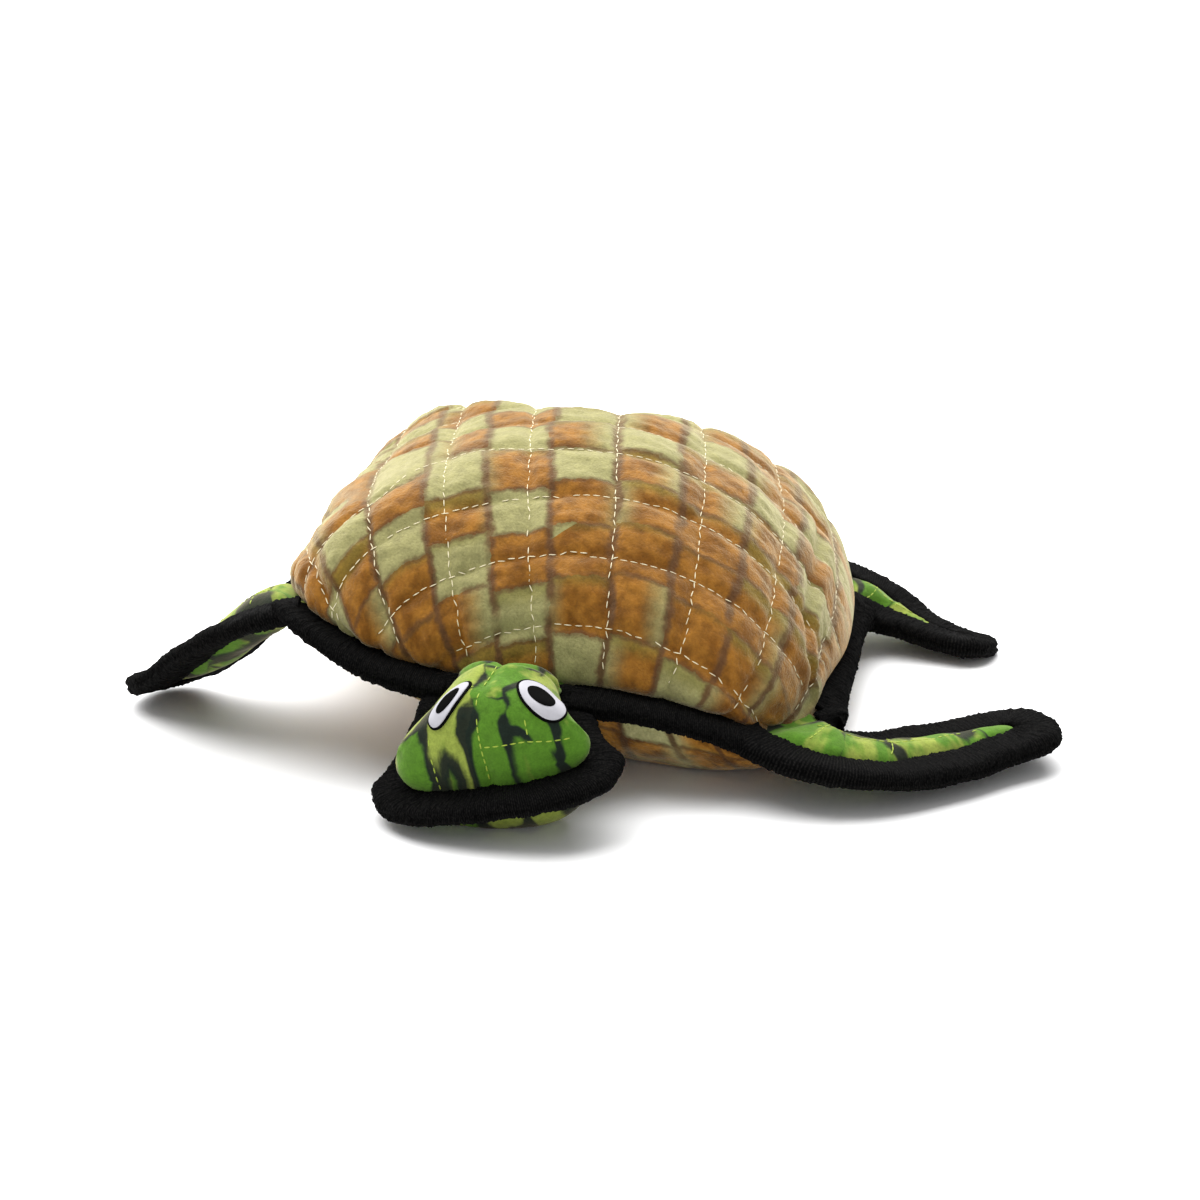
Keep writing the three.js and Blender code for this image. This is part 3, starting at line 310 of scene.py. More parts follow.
class Blade:
    """Bent middle surface of a limb: u runs along it, s across it and h off its upper face."""

    def __init__(self, root: Root, limb: LimbSizes) -> None:
        """Fits the spine between the root line and the tip.

        Args:
            root: line that the limb is sewn on.
            limb: its sizes.
        """
        slope = math.radians(limb.root_slope)
        across = np.cross(UP, root.outwards)
        root_across = root.along * np.sign(across @ root.along)
        rise = np.cross(root.outwards, root_across)
        direction = root.outwards * math.cos(slope) + rise * math.sin(slope)
        tip = root.middle + np.array(limb.reach)
        near_tip = tip - np.array(limb.tip_handle)
        near_root = root.middle + direction * limb.root_handle
        self.control = np.array([root.middle, near_root, near_tip, tip])
        self.steps = np.linspace(0.0, 1.0, 401)
        self.run = distances(self.place(self.steps))
        self.length = float(self.run[-1])
        level = unit(np.cross(UP, direction))
        turn = float(np.cross(level, root_across) @ direction)
        self.root_roll = math.asin(max(-1.0, min(1.0, turn)))
        self.tip_roll = math.radians(limb.tip_roll)

    def place(self, t: Points) -> Points:
        """Point of the spine at the curve's own parameter.

        Args:
            t: parameters, from 0 to 1.

        Returns:
            Points in millimetres.
        """
        p0, p1, p2, p3 = self.control
        t = t[:, None]
        return (1 - t) ** 3 * p0 + 3 * (1 - t) ** 2 * t * p1 + 3 * (1 - t) * t**2 * p2 + t**3 * p3

    def heading(self, t: Points) -> Points:
        """Direction of the spine at the curve's own parameter.

        Args:
            t: parameters, from 0 to 1.

        Returns:
            Unit directions.
        """
        p0, p1, p2, p3 = self.control
        t = t[:, None]
        return unit((1 - t) ** 2 * (p1 - p0) + 2 * (1 - t) * t * (p2 - p1) + t**2 * (p3 - p2))

    def at(self, u: Points, s: Points, h: Points) -> Points:
        """Places points of the flat sewing pattern in space.

        Args:
            u: distance along the limb from its root line.
            s: distance across it, to the left seen from its root.
            h: height off its upper face.

        Returns:
            Points in millimetres.
        """
        u, s, h = (np.atleast_1d(np.asarray(v, float)) for v in np.broadcast_arrays(u, s, h))
        run = np.clip(u, 0.0, self.length)
        t = np.interp(run, self.run, self.steps)
        tangent = self.heading(t)
        origin = self.place(t) + tangent * (u - run)[:, None]
        rolled = smoothstep(run / self.length, 0.0, 0.65)
        roll = (self.root_roll + (self.tip_roll - self.root_roll) * rolled)[:, None]
        level = unit(np.cross(UP, tangent))
        across = level * np.cos(roll) + np.cross(tangent, level) * np.sin(roll)
        normal = np.cross(tangent, across)
        return origin + across * s[:, None] + normal * h[:, None]


def make_object(name: str, points: Points, faces: Sequence[Sequence[int]],
                cloth: Points | None = None) -> bpy.types.Object:
    """Makes a mesh object from points in millimetres.

    Args:
        name: name of the piece.
        points: vertices, in millimetres.
        faces: corner numbers of each face.
        cloth: place of each vertex on the flat cloth, in millimetres.

    Returns:
        The new object, at the origin.
    """
    mesh = bpy.data.meshes.new(name)
    mesh.from_pydata((points * MM).tolist(), [], [list(map(int, f)) for f in faces])
    if cloth is not None:
        attribute = mesh.attributes.new("cloth", "FLOAT_VECTOR", "POINT")
        attribute.data.foreach_set("vector", (cloth * MM).astype(np.float32).ravel())
    mesh.update()
    made = bpy.data.objects.new(name, mesh)
    bpy.context.scene.collection.objects.link(made)
    return made


def select_only(obj: bpy.types.Object) -> None:
    """Selects one object and makes it the active one.

    Args:
        obj: what is selected.
    """
    bpy.ops.object.select_all(action="DESELECT")
    obj.select_set(True)
    bpy.context.view_layer.objects.active = obj


def apply_modifiers(obj: bpy.types.Object) -> None:
    """Applies every modifier of an object, in order.

    Args:
        obj: the piece.
    """
    select_only(obj)
    for modifier in list(obj.modifiers):
        bpy.ops.object.modifier_apply(modifier=modifier.name)


def subdivide(obj: bpy.types.Object, levels: int = 1) -> None:
    """Smooths a piece by subdivision, and applies it.

    Args:
        obj: the piece.
        levels: how many times its faces are parted.
    """
    modifier = obj.modifiers.new("Smooth", "SUBSURF")
    modifier.levels = levels
    modifier.render_levels = levels
    apply_modifiers(obj)


def face_outwards(obj: bpy.types.Object, weld_mm: float = 0.0) -> None:
    """Turns every face of a piece outwards, with corners that lie within weld_mm joined first.

    Args:
        obj: the piece.
        weld_mm: corners this close are joined first, none at 0.
    """
    select_only(obj)
    bpy.ops.object.mode_set(mode="EDIT")
    bpy.ops.mesh.select_all(action="SELECT")
    if weld_mm:
        bpy.ops.mesh.remove_doubles(threshold=weld_mm * MM)
    bpy.ops.mesh.normals_make_consistent(inside=False)
    bpy.ops.object.mode_set(mode="OBJECT")


def tube_faces(rings: int, around: int) -> list[tuple[int, ...]]:
    """Corner numbers of the faces between the rings of a tube."""
    turns = [(k * around + i, k * around + (i + 1) % around) for k in range(rings - 1) for i in range(around)]
    return [(a, b, b + around, a + around) for a, b in turns]


def shade_smooth(obj: bpy.types.Object) -> None:
    """Shades all faces of an object smooth."""
    obj.data.polygons.foreach_set("use_smooth", [True] * len(obj.data.polygons))
    obj.data.update()


def coordinates(obj: bpy.types.Object) -> Points:
    """Vertices of an object, in millimetres.

    Args:
        obj: the piece.

    Returns:
        One row a vertex.
    """
    co = np.empty(len(obj.data.vertices) * 3)
    obj.data.vertices.foreach_get("co", co)
    return co.reshape(-1, 3) / MM


def set_coordinates(obj: bpy.types.Object, points: Points) -> None:
    """Moves the vertices of an object to points in millimetres."""
    obj.data.vertices.foreach_set("co", (points * MM).ravel())
    obj.data.update()


def vertex_normals(obj: bpy.types.Object) -> Points:
    """Outward directions at the vertices of an object.

    Args:
        obj: the piece.

    Returns:
        One unit row a vertex.
    """
    normals = np.empty(len(obj.data.vertices) * 3)
    obj.data.vertices.foreach_get("normal", normals)
    return normals.reshape(-1, 3)


def cloth_places(obj: bpy.types.Object) -> Points:
    """Places of an object's vertices on the flat cloth, in millimetres.

    Args:
        obj: the piece.

    Returns:
        One row a vertex.
    """
    flat = np.empty(len(obj.data.vertices) * 3)
    obj.data.attributes["cloth"].data.foreach_get("vector", flat)
    return flat.reshape(-1, 3) / MM


def above_floor(points: Points) -> Points:
    """Points with those under the floor lifted onto it."""
    return np.column_stack([points[:, :2], np.maximum(points[:, 2], 0.0)])


@dataclass(frozen=True)
class Stuffing:
    """How tightly a sewn cover is filled, for the cloth simulation that plumps it."""

    pressure: float
    slack: float
    cap: float
    frames: int = 20
    quality: int = 6
    bending: float = 0.3

    def plump(self, obj: bpy.types.Object, pinned: Points) -> None:
        """Fills a closed cover by cloth simulation, and applies the result.

        Args:
            obj: closed mesh of the cover.
            pinned: how firmly each vertex is held, from 0 to 1.
        """
        group = obj.vertex_groups.new(name="held")
        for value in np.unique(np.round(pinned, 2)):
            where = np.nonzero(np.round(pinned, 2) == value)[0]
            group.add(where.tolist(), float(value), "REPLACE")
        before = coordinates(obj)
        select_only(obj)
        cloth = obj.modifiers.new("Cloth", "CLOTH")
        settings = cloth.settings
        settings.quality = self.quality
        settings.use_pressure = True
        settings.uniform_pressure_force = self.pressure
        settings.effector_weights.gravity = 0.0
        settings.shrink_min = -self.slack
        settings.vertex_group_mass = group.name
        settings.bending_stiffness = self.bending
        cloth.collision_settings.use_collision = False
        cloth.point_cache.frame_start = 1
        cloth.point_cache.frame_end = self.frames
        for number in range(1, self.frames + 1):
            bpy.context.scene.frame_set(number)
        bpy.ops.object.modifier_apply(modifier=cloth.name)
        bpy.context.scene.frame_set(1)
        moved = coordinates(obj) - before
        far = np.linalg.norm(moved, axis=1, keepdims=True)
        soft_cap = self.cap * np.tanh(far / self.cap)
        set_coordinates(obj, before + moved * soft_cap / np.maximum(far, 1e-9))
        obj.vertex_groups.clear()
        log.info("%s plumped, moved %.1f mm at most", obj.name, float(far.max()))


def linear(colour: str) -> tuple[float, float, float, float]:
    """Linear colour with full alpha from an sRGB hex value such as "#8a5a2b"."""
    parts = [int(colour[i:i + 2], 16) / 255.0 for i in (1, 3, 5)]
    return (*(c / 12.92 if c <= 0.04045 else ((c + 0.055) / 1.055) ** 2.4 for c in parts), 1.0)


def add_node(tree: bpy.types.NodeTree, kind: str, feeds: Feeds | None = None, output: int | str = 0,
             **settings: object) -> Socket | None:
    """Adds a node with its settings and links.

    Args:
        tree: node tree to add it to.
        kind: type name of the node, after "ShaderNode".
        feeds: name or number of a socket, to its value or to the output that feeds it.
        output: name or number of the output that is wanted.
        settings: the node's own settings.

    Returns:
        The wanted output, or None where the node has no outputs.
    """
    node = tree.nodes.new(f"ShaderNode{kind}")
    for name, value in settings.items():
        setattr(node, name, value)
    for key, value in (feeds or {}).items():
        socket = node.inputs[key]
        if isinstance(value, Socket):
            tree.links.new(value, socket)
        else:
            socket.default_value = value
    return node.outputs[output] if node.outputs else None


# settings that several nodes share, and the sockets of the mix of two colours
SMOOTH = {"interpolation_type": "SMOOTHSTEP"}
SOLID = {"kind": "TexCoord", "output": "Object"}
FLAT = {"kind": "Attribute", "output": "Vector", "attribute_name": "cloth"}
COLOURS = {"kind": "Mix", "output": 2, "data_type": "RGBA"}
SHARE, UNDER, OVER = 0, 6, 7


class Finish:
    """A material that starts from what the real one is."""

    name: str

    def make(self) -> bpy.types.Material:
        """Makes the material and its nodes.

        Returns:
            The material.
        """
        material = bpy.data.materials.new(self.name)
        material.use_nodes = True
        tree = material.node_tree
        tree.nodes.clear()
        shader = add_node(tree, "BsdfPrincipled", self.feeds(partial(add_node, tree)))
        add_node(tree, "OutputMaterial", {"Surface": shader})
        return material

    def feeds(self, add: Add) -> Feeds:
        """What feeds the shader, with the nodes behind it."""
        raise NotImplementedError


@dataclass(frozen=True)
class FleecePile(Finish):
    """Brushed polyester fleece: a short soft nap that scatters light, matt, with a faint halo of sheen.

    Real fibres stand about 0.05 mm apart, too fine to show, so the pile is drawn in wisps of about 1 mm.
    """

    name: str = "fleece"
    pile_mm: float = 1.1
    tuft_mm: float = 4.5
    bump: float = 0.75
    sheen: float = 0.5
    column_mm: float = 28.0
    row_mm: float = 25.0
    seed: float = 3.0

    def colour(self, add: Add, place: Socket) -> Socket:
        """Printed colour of the cloth."""
        raise NotImplementedError

    def feeds(self, add: Add) -> Feeds:
        """Prints the cloth, then shades it as pile: fibres and the tufts that they lie in.

        Args:
            add: adds a node.

        Returns:
            Values and outputs for the shader's sockets.
        """
        solid = add(**SOLID)
        grains = (self.pile_mm, 4.0), (self.tuft_mm, 2.0)
        fibres, tufts = (add("TexNoise", {"Vector": solid, "Scale": 1 / (size * MM), "Detail": detail,
                                          "Roughness": 0.6}) for size, detail in grains)
        half = add("Math", {0: tufts, 1: 0.5}, operation="MULTIPLY")
        shade = add("Math", {0: fibres, 1: 0.5, 2: half}, operation="MULTIPLY_ADD")
        bright = add("MapRange", {"Value": shade, "From Min": 0.3, "From Max": 0.7, "To Min": 0.7, "To Max": 1.28})
        colour = add("HueSaturation", {"Value": bright, "Color": self.colour(add, add(**FLAT))})
        height = add("Math", {0: tufts, 1: 0.8, 2: fibres}, operation="MULTIPLY_ADD")
        bumped = add("Bump", {"Height": height, "Strength": self.bump, "Distance": 0.6 * MM})
        return {"Base Color": colour, "Normal": bumped, "Roughness": 0.95, "IOR": 1.45, "Specular IOR Level": 0.12,
                "Sheen Weight": self.sheen, "Sheen Roughness": 0.45, "Sheen Tint": linear("#fff3cf")}

    def chance(self, add: Add, column: Socket, row: float | Socket, number: int) -> Socket:
        """Random value from 0 to 1 for each cell of the print, another one for each number."""
        cell = add("CombineXYZ", {0: column, 1: row, 2: self.seed + number})
        return add("TexWhiteNoise", {"Vector": cell}, noise_dimensions="3D")

    def cells(self, add: Add, place: Socket, waves: Iterable[tuple[float, float, float]], stagger: float,
              across: int) -> tuple[Socket, Socket, Socket, Socket]:
        """Parts the cloth into staggered cells with wavering sides.

        Args:
            add: adds a node.
            place: place on the flat cloth.
            waves: size, detail and reach of each wavering, sizes in millimetres.
            stagger: how far the columns are shifted at most, as a share of a row.
            across: 0 where the columns follow one another along the cloth's x, 1 for its y.

        Returns:
            Numbers of the column and of the row, and the shares of the way across each.
        """
        bent = place
        for size, detail, reach in waves:
            noise = add("TexNoise", {"Vector": place, "Scale": 1 / (size * MM), "Detail": detail}, "Color")
            centred = add("VectorMath", {0: noise, 1: (-0.5, -0.5, -0.5)}, operation="ADD")
            moved = add("VectorMath", {0: centred, "Scale": reach * MM}, operation="SCALE")
            bent = add("VectorMath", {0: bent, 1: moved}, operation="ADD")
        split = add("SeparateXYZ", {0: bent}).node.outputs
        columns = add("Math", {0: split[across], 1: self.column_mm * MM}, operation="DIVIDE")
        column = add("Math", {0: columns}, operation="FLOOR")
        shift = add("Math", {0: self.chance(add, column, 0.0, 0), 1: stagger}, operation="MULTIPLY")
        rows = add("Math", {0: split[1 - across], 1: self.row_mm * MM}, operation="DIVIDE")
        rows = add("Math", {0: rows, 1: shift}, operation="ADD")
        row = add("Math", {0: rows}, operation="FLOOR")
        return column, row, *(add("Math", {0: value}, operation="FRACT") for value in (columns, rows))

    def side_gaps(self, add: Add, shares: Iterable[Socket]) -> list[Socket]:
        """Distance from the nearer side of a cell for each share of the way across it."""
        far = [(share, add("Math", {0: 1.0, 1: share}, operation="SUBTRACT")) for share in shares]
        return [add("Math", {0: share, 1: rest}, operation="MINIMUM") for share, rest in far]


@dataclass(frozen=True)
class CheckedFleece(FleecePile):
    """Fleece printed with a soft hand-drawn check of tan and sage blocks between brown lines."""

    name: str = "checked_fleece"
    line_mm: float = 2.0
    sheen: float = 0.65
    tan: str = "#926120"
    tan_dark: str = "#704510"
    sage: str = "#8f8b5c"
    olive: str = "#6f692c"
    brown: str = "#553822"
    tan_above: float = 0.47

    def colour(self, add: Add, place: Socket) -> Socket:
        """Check of tan and sage blocks with olive shading, between soft brown lines.

        Args:
            add: adds a node.
            place: place on the flat cloth.

        Returns:
            Output of the colour.
        """
        column, row, fx, fy = self.cells(add, place, ((38.0, 1.0, 9.0), (3.2, 3.0, 3.4)), 0.3, 0)
        block, lean, cut, depth = (self.chance(add, column, row, number) for number in (1, 2, 3, 4))

        # a block is tan by chance, on every other place rather, and more so towards the head
        count = add("Math", {0: column, 1: row}, operation="ADD")
        parity = add("Math", {0: count, 1: 1.0}, operation="PINGPONG")
        mixed = add("Math", {0: block, 1: 0.65}, operation="MULTIPLY")
        mixed = add("Math", {0: parity, 1: 0.35, 2: mixed}, operation="MULTIPLY_ADD")
        spot = add("SeparateXYZ", {0: place}).node.outputs
        aside = add("Math", {0: spot[0]}, operation="ABSOLUTE")
        aside = add("Math", {0: aside, 1: 0.6}, operation="MULTIPLY")
        ahead = add("Math", {0: aside, 1: spot[1]}, operation="SUBTRACT")
        ahead = add("MapRange", {0: ahead, 1: 20 * MM, 2: 105 * MM}, **SMOOTH)
        mixed = add("Math", {0: ahead, 1: 0.27, 2: mixed}, operation="MULTIPLY_ADD")
        is_tan = add("Math", {0: mixed, 1: self.tan_above}, operation="GREATER_THAN")

        # the tan fades into sage towards one side of its block
        side = add("Math", {0: lean, 1: 0.5}, operation="GREATER_THAN")
        from_side = add("Math", {0: fx, 1: side}, operation="SUBTRACT")
        from_side = add("Math", {0: from_side}, operation="ABSOLUTE")
        cut = add("Math", {0: cut, 1: 0.9, 2: -0.5}, operation="MULTIPLY_ADD")
        fade = add("Math", {0: from_side, 1: cut}, operation="SUBTRACT")
        fade = add("MapRange", {0: fade, 1: -0.28, 2: 0.3}, **SMOOTH)
        tan_share = add("Math", {0: is_tan, 1: fade}, operation="MULTIPLY")
        mottle = add("TexNoise", {"Vector": place, "Scale": 1 / (11 * MM), "Detail": 2.0, "Roughness": 0.6})
        mottle = add("MapRange", {0: mottle, 1: 0.35, 2: 0.65}, **SMOOTH)
        tan = add(feeds={SHARE: mottle, UNDER: linear(self.tan), OVER: linear(self.tan_dark)}, **COLOURS)
        ground = add(feeds={SHARE: tan_share, UNDER: linear(self.sage), OVER: tan}, **COLOURS)

        # olive shading at the far end of each block
        reach = add("Math", {0: depth, 1: 0.5, 2: 0.72}, operation="MULTIPLY_ADD")
        shaded = add("Math", {0: fy, 1: reach}, operation="SUBTRACT")
        shaded = add("MapRange", {0: shaded, 1: -0.2, 2: 0.12}, **SMOOTH)
        shaded = add("Math", {0: shaded, 1: 0.6}, operation="MULTIPLY")
        ground = add(feeds={SHARE: shaded, UNDER: ground, OVER: linear(self.olive)}, **COLOURS)

        # brown lines broken by wear, fainter across than along
        half_line = self.line_mm / self.column_mm / 2.0
        gap_x, gap_y = self.side_gaps(add, (fx, fy))
        line_x = add("MapRange", {0: gap_x, 1: 3.4 * half_line, 2: 0.6 * half_line}, **SMOOTH)
        line_y = add("MapRange", {0: gap_y, 1: 2.6 * half_line, 2: 0.4 * half_line}, **SMOOTH)
        line_y = add("Math", {0: line_y, 1: 0.75}, operation="MULTIPLY")
        lines = add("Math", {0: line_x, 1: line_y}, operation="MAXIMUM")
        wear_and_highlight = add("TexNoise", {"Vector": place, "Scale": 1 / (16 * MM), "Detail": 1.0, "Roughness": 0.6})
        wear_and_highlight = add("MapRange", {0: wear_and_highlight, 1: 0.2, 2: 0.5}, **SMOOTH)
        wear_and_highlight = add("Math", {0: wear_and_highlight, 1: 0.88}, operation="MULTIPLY")
        lines = add("Math", {0: lines, 1: wear_and_highlight}, operation="MULTIPLY")
        return add(feeds={SHARE: lines, UNDER: ground, OVER: linear(self.brown)}, **COLOURS)


@dataclass(frozen=True)
class LeafyFleece(FleecePile):
    """Smoother velour printed with bright green and lime patches between dark blotches."""

    name: str = "leafy_fleece"
    pile_mm: float = 0.8
    tuft_mm: float = 3.0
    bump: float = 0.3
    sheen: float = 0.3
    column_mm: float = 17.0
    row_mm: float = 22.0
    seed: float = 5.0
    green: str = "#4c7621"
    lime: str = "#869440"
    navy: str = "#10181a"

    def colour(self, add: Add, place: Socket) -> Socket:
        """Staggered green and lime blocks parted by broken, blotched dark lines.

        Args:
            add: adds a node.
            place: place on the flat cloth.

        Returns:
            Output of the colour.
        """
        column, row, fx, fy = self.cells(add, place, ((16.0, 1.0, 14.0), (2.5, 3.0, 2.2)), 1.0, 1)
        mottle, width = (add("TexNoise", {"Vector": place, "Scale": 1 / (size * MM), "Detail": detail,
                                          "Roughness": 0.6}) for size, detail in ((9.0, 2.0), (14.0, 1.0)))
        mottle = add("Math", {0: mottle, 1: 0.5}, operation="SUBTRACT")
        tone = add("Math", {0: mottle, 1: 2.2, 2: self.chance(add, column, row, 1)}, operation="MULTIPLY_ADD")
        tone = add("MapRange", {0: tone, 1: 0.4, 2: 0.85}, **SMOOTH)
        ground = add(feeds={SHARE: tone, UNDER: linear(self.green), OVER: linear(self.lime)}, **COLOURS)

        # the dark lines swell into blotches and break off, by a noise that sets their width in millimetres
        gap_x, gap_y = self.side_gaps(add, (fx, fy))
        gap_x = add("Math", {0: gap_x, 1: self.column_mm}, operation="MULTIPLY")
        gap_y = add("Math", {0: gap_y, 1: self.row_mm * 1.25}, operation="MULTIPLY")
        near = add("Math", {0: gap_x, 1: gap_y}, operation="MINIMUM")
        width = add("Math", {0: width, 1: 15.0, 2: -6.4}, operation="MULTIPLY_ADD")
        dark = add("Math", {0: near, 1: width}, operation="SUBTRACT")
        dark = add("MapRange", {0: dark, 1: 1.2, 2: -0.9}, **SMOOTH)
        dark = add("Math", {0: dark, 1: 0.97}, operation="MULTIPLY")
        return add(feeds={SHARE: dark, UNDER: ground, OVER: linear(self.navy)}, **COLOURS)


@dataclass(frozen=True)
class RibbedTape(Finish):
    """Black polypropylene binding tape: a woven ribbed face with broken, fuzzy highlights.

    The ribs are a real 1.2 mm apart. Its fuzz is drawn coarser than loose fibres are, so that it shows.
    """

    name: str = "ribbed_tape"
    rib_mm: float = 1.2
    fuzz_mm: float = 0.8
    black: str = "#040404"
    # paler colour painted on the ribs and fuzz as their highlight
    wear_and_highlight: str = "#1b1a19"

    def feeds(self, add: Add) -> Feeds:
        """Cross ribs along the tape and loose fibres over them.

        Args:
            add: adds a node.

        Returns:
            Values and outputs for the shader's sockets.
        """
        ribs = add("TexWave", {"Vector": add(**FLAT), "Scale": 0.5 / (self.rib_mm * MM), "Distortion": 1.2,
                               "Detail": 2.0}, "Fac", wave_type="BANDS", bands_direction="X")
        fuzz = add("TexNoise", {"Vector": add(**SOLID), "Scale": 1 / (self.fuzz_mm * MM), "Detail": 3.0,
                                "Roughness": 0.6})
        mixed = add("Math", {0: fuzz, 1: 0.8}, operation="MULTIPLY")
        mixed = add("Math", {0: ribs, 1: 0.2, 2: mixed}, operation="MULTIPLY_ADD")
        share = add("MapRange", {0: mixed, 1: 0.45, 2: 0.72}, **SMOOTH)
        # painted highlight: the ribs and fuzz lift the black towards the paler colour
        colour = add(feeds={SHARE: share, UNDER: linear(self.black), OVER: linear(self.wear_and_highlight)}, **COLOURS)
        bumped = add("Bump", {"Height": mixed, "Strength": 1.0, "Distance": 0.7 * MM})
        return {"Base Color": colour, "Normal": bumped, "Roughness": 0.9, "Specular IOR Level": 0.04}


@dataclass(frozen=True)
class EvenFinish(Finish):
    """Plain surface whose colour runs between two near shades with one or more grains."""

    name: str
    shade: str
    pale: str
    roughness: float = 0.6
    specular: float = 0.5
    grains: tuple[tuple[float, float], ...] = ((0.5, 1.0),)
    bump: float = 0.4

    def feeds(self, add: Add) -> Feeds:
        """Sums the grains, each of a size in millimetres and a share; the first one is also felt.

        Args:
            add: adds a node.

        Returns:
            Values and outputs for the shader's sockets.
        """
        noises = [add("TexNoise", {"Vector": add(**SOLID), "Scale": 1 / (size * MM), "Detail": 2.0, "Roughness": 0.6})
                  for size, _ in self.grains]
        mixed = 0.0
        for noise, (_, share) in zip(noises, self.grains):
            mixed = add("Math", {0: noise, 1: share, 2: mixed}, operation="MULTIPLY_ADD")
        colour = add(feeds={SHARE: mixed, UNDER: linear(self.shade), OVER: linear(self.pale)}, **COLOURS)
        feeds = {"Base Color": colour, "Roughness": self.roughness, "Specular IOR Level": self.specular}
        if self.bump:
            feeds["Normal"] = add("Bump", {"Height": noises[0], "Strength": self.bump, "Distance": 0.1 * MM})
        return feeds


@dataclass(frozen=True)
class Thread(EvenFinish):
    """Spun polyester sewing thread with a slight lustre; its twisted plies, 0.5 mm long, show as fine mottling."""


@dataclass(frozen=True)
class SmoothPatch(EvenFinish):
    """Closely woven satin of an eye patch: a faint weave in an even, slightly clouded colour.

    Its threads are about 0.2 mm apart, too fine to show, so the weave is drawn at 0.6 mm.
    """

    specular: float = 0.2
    grains: tuple[tuple[float, float], ...] = ((0.6, 0.3), (4.0, 0.7))
    bump: float = 0.15


@dataclass(frozen=True)
class StudioPaper(EvenFinish):
    """Matt white paper sweep under the toy."""

    grains: tuple[tuple[float, float], ...] = ((60.0, 1.0),)
    bump: float = 0.0


class Wardrobe:
    """Every finish of the toy, made once."""

    def __init__(self) -> None:
        """Makes the materials."""
        self.shell = CheckedFleece().make()
        # the belly's copy of the checked fleece has paler tan, sage and olive: painted light that lifts the shade
        # under the body
        self.belly = CheckedFleece("checked_fleece_belly_painted_lighter", tan="#b47c30", sage="#bdb983", olive="#8a8440",
                                   seed=11.0).make()
        self.limb = LeafyFleece().make()
        self.tape = RibbedTape().make()
        self.cream = Thread("cream_thread", "#dccfa6", "#f1e9cb").make()
        self.chartreuse = Thread("chartreuse_thread", "#8ba12a", "#adc041").make()
        self.eye_white = SmoothPatch("white_patch", "#a09fa5", "#bab9bf", 0.7).make()
        self.eye_black = SmoothPatch("black_patch", "#020202", "#060606", 0.8, 0.03).make()
        self.pocket = Thread("pocket_cotton", "#cfcabb", "#e4e0d4").make()
        self.vinyl = SmoothPatch("squeaker_vinyl", "#cfcabb", "#ddd9cc", 0.35).make()
        self.reed = SmoothPatch("reed_plastic", "#dadada", "#e8e8e8", 0.3).make()
        self.paper = StudioPaper("studio_paper", "#f6f6f6", "#fafafa", 0.9).make()


def dress(obj: bpy.types.Object, material: bpy.types.Material) -> None:
    """Gives an object one material."""
    obj.data.materials.clear()
    obj.data.materials.append(material)


class Camera:
    """Camera at the photograph's viewing angle."""

    azimuth = 9.8
    elevation = 20.3
    distance = 1207.85
    focal_px = 2756.17
    image_px = 1200.0
    sensor_mm = 36.0
    clip = (0.05, 20.0)
    target = (6.75, 0.0, 40.99)

    def build(self) -> None:
        """Adds the camera and makes it the scene's own."""
        a, e = math.radians(self.azimuth), math.radians(self.elevation)
        back = Vector((math.sin(a) * math.cos(e), -math.cos(a) * math.cos(e), math.sin(e)))
        data = bpy.data.cameras.new("camera")
        data.sensor_width = self.sensor_mm
        data.lens = self.sensor_mm * self.focal_px / self.image_px
        data.clip_start, data.clip_end = self.clip
        camera = bpy.data.objects.new("camera", data)
        camera.location = (Vector(self.target) + back * self.distance) * MM
        camera.rotation_mode = "QUATERNION"
        camera.rotation_quaternion = (-back).to_track_quat("-Z", "Y")
        bpy.context.scene.collection.objects.link(camera)
        bpy.context.scene.camera = camera


class Studio:
    """White paper floor and soft light from above and behind, in metres."""

    floor_size = 12.0
    floor_height = -0.0004
    world_strength = 0.54
    box_at = (-0.7, 1.6, 2.5)
    box_size = 5.0
    box_watts = 380.0
    box_faces = (0.0, 0.6, 0.0)

    def build(self, wardrobe: Wardrobe) -> None:
        """Adds the floor, the world light and one soft box.

        Args:
            wardrobe: the toy's finishes.
        """
        bpy.ops.object.select_all(action="DESELECT")
        bpy.ops.mesh.primitive_plane_add(size=self.floor_size, location=(0.0, 0.0, self.floor_height))
        floor = bpy.context.object
        floor.name = "studio_floor"
        dress(floor, wardrobe.paper)
        world = bpy.data.worlds.new("studio")
        world.use_nodes = True
        background = world.node_tree.nodes["Background"]
        background.inputs["Color"].default_value = (1.0, 1.0, 1.0, 1.0)
        background.inputs["Strength"].default_value = self.world_strength
        bpy.context.scene.world = world
        data = bpy.data.lights.new("ceiling", "AREA")
        data.shape = "SQUARE"
        data.size = self.box_size
        data.energy = self.box_watts
        light = bpy.data.objects.new("ceiling", data)
        light.location = self.box_at
        light.rotation_mode = "QUATERNION"
        light.rotation_quaternion = (Vector(self.box_faces) - Vector(self.box_at)).to_track_quat("-Z", "Y")
        bpy.context.scene.collection.objects.link(light)
        bpy.context.scene.view_settings.view_transform = "Standard"


def surface_of(obj: bpy.types.Object) -> BVHTree:
    """Search tree of an object's surface as it stands, in metres."""
    return BVHTree.FromPolygons([v.co for v in obj.data.vertices], [list(p.vertices) for p in obj.data.polygons])


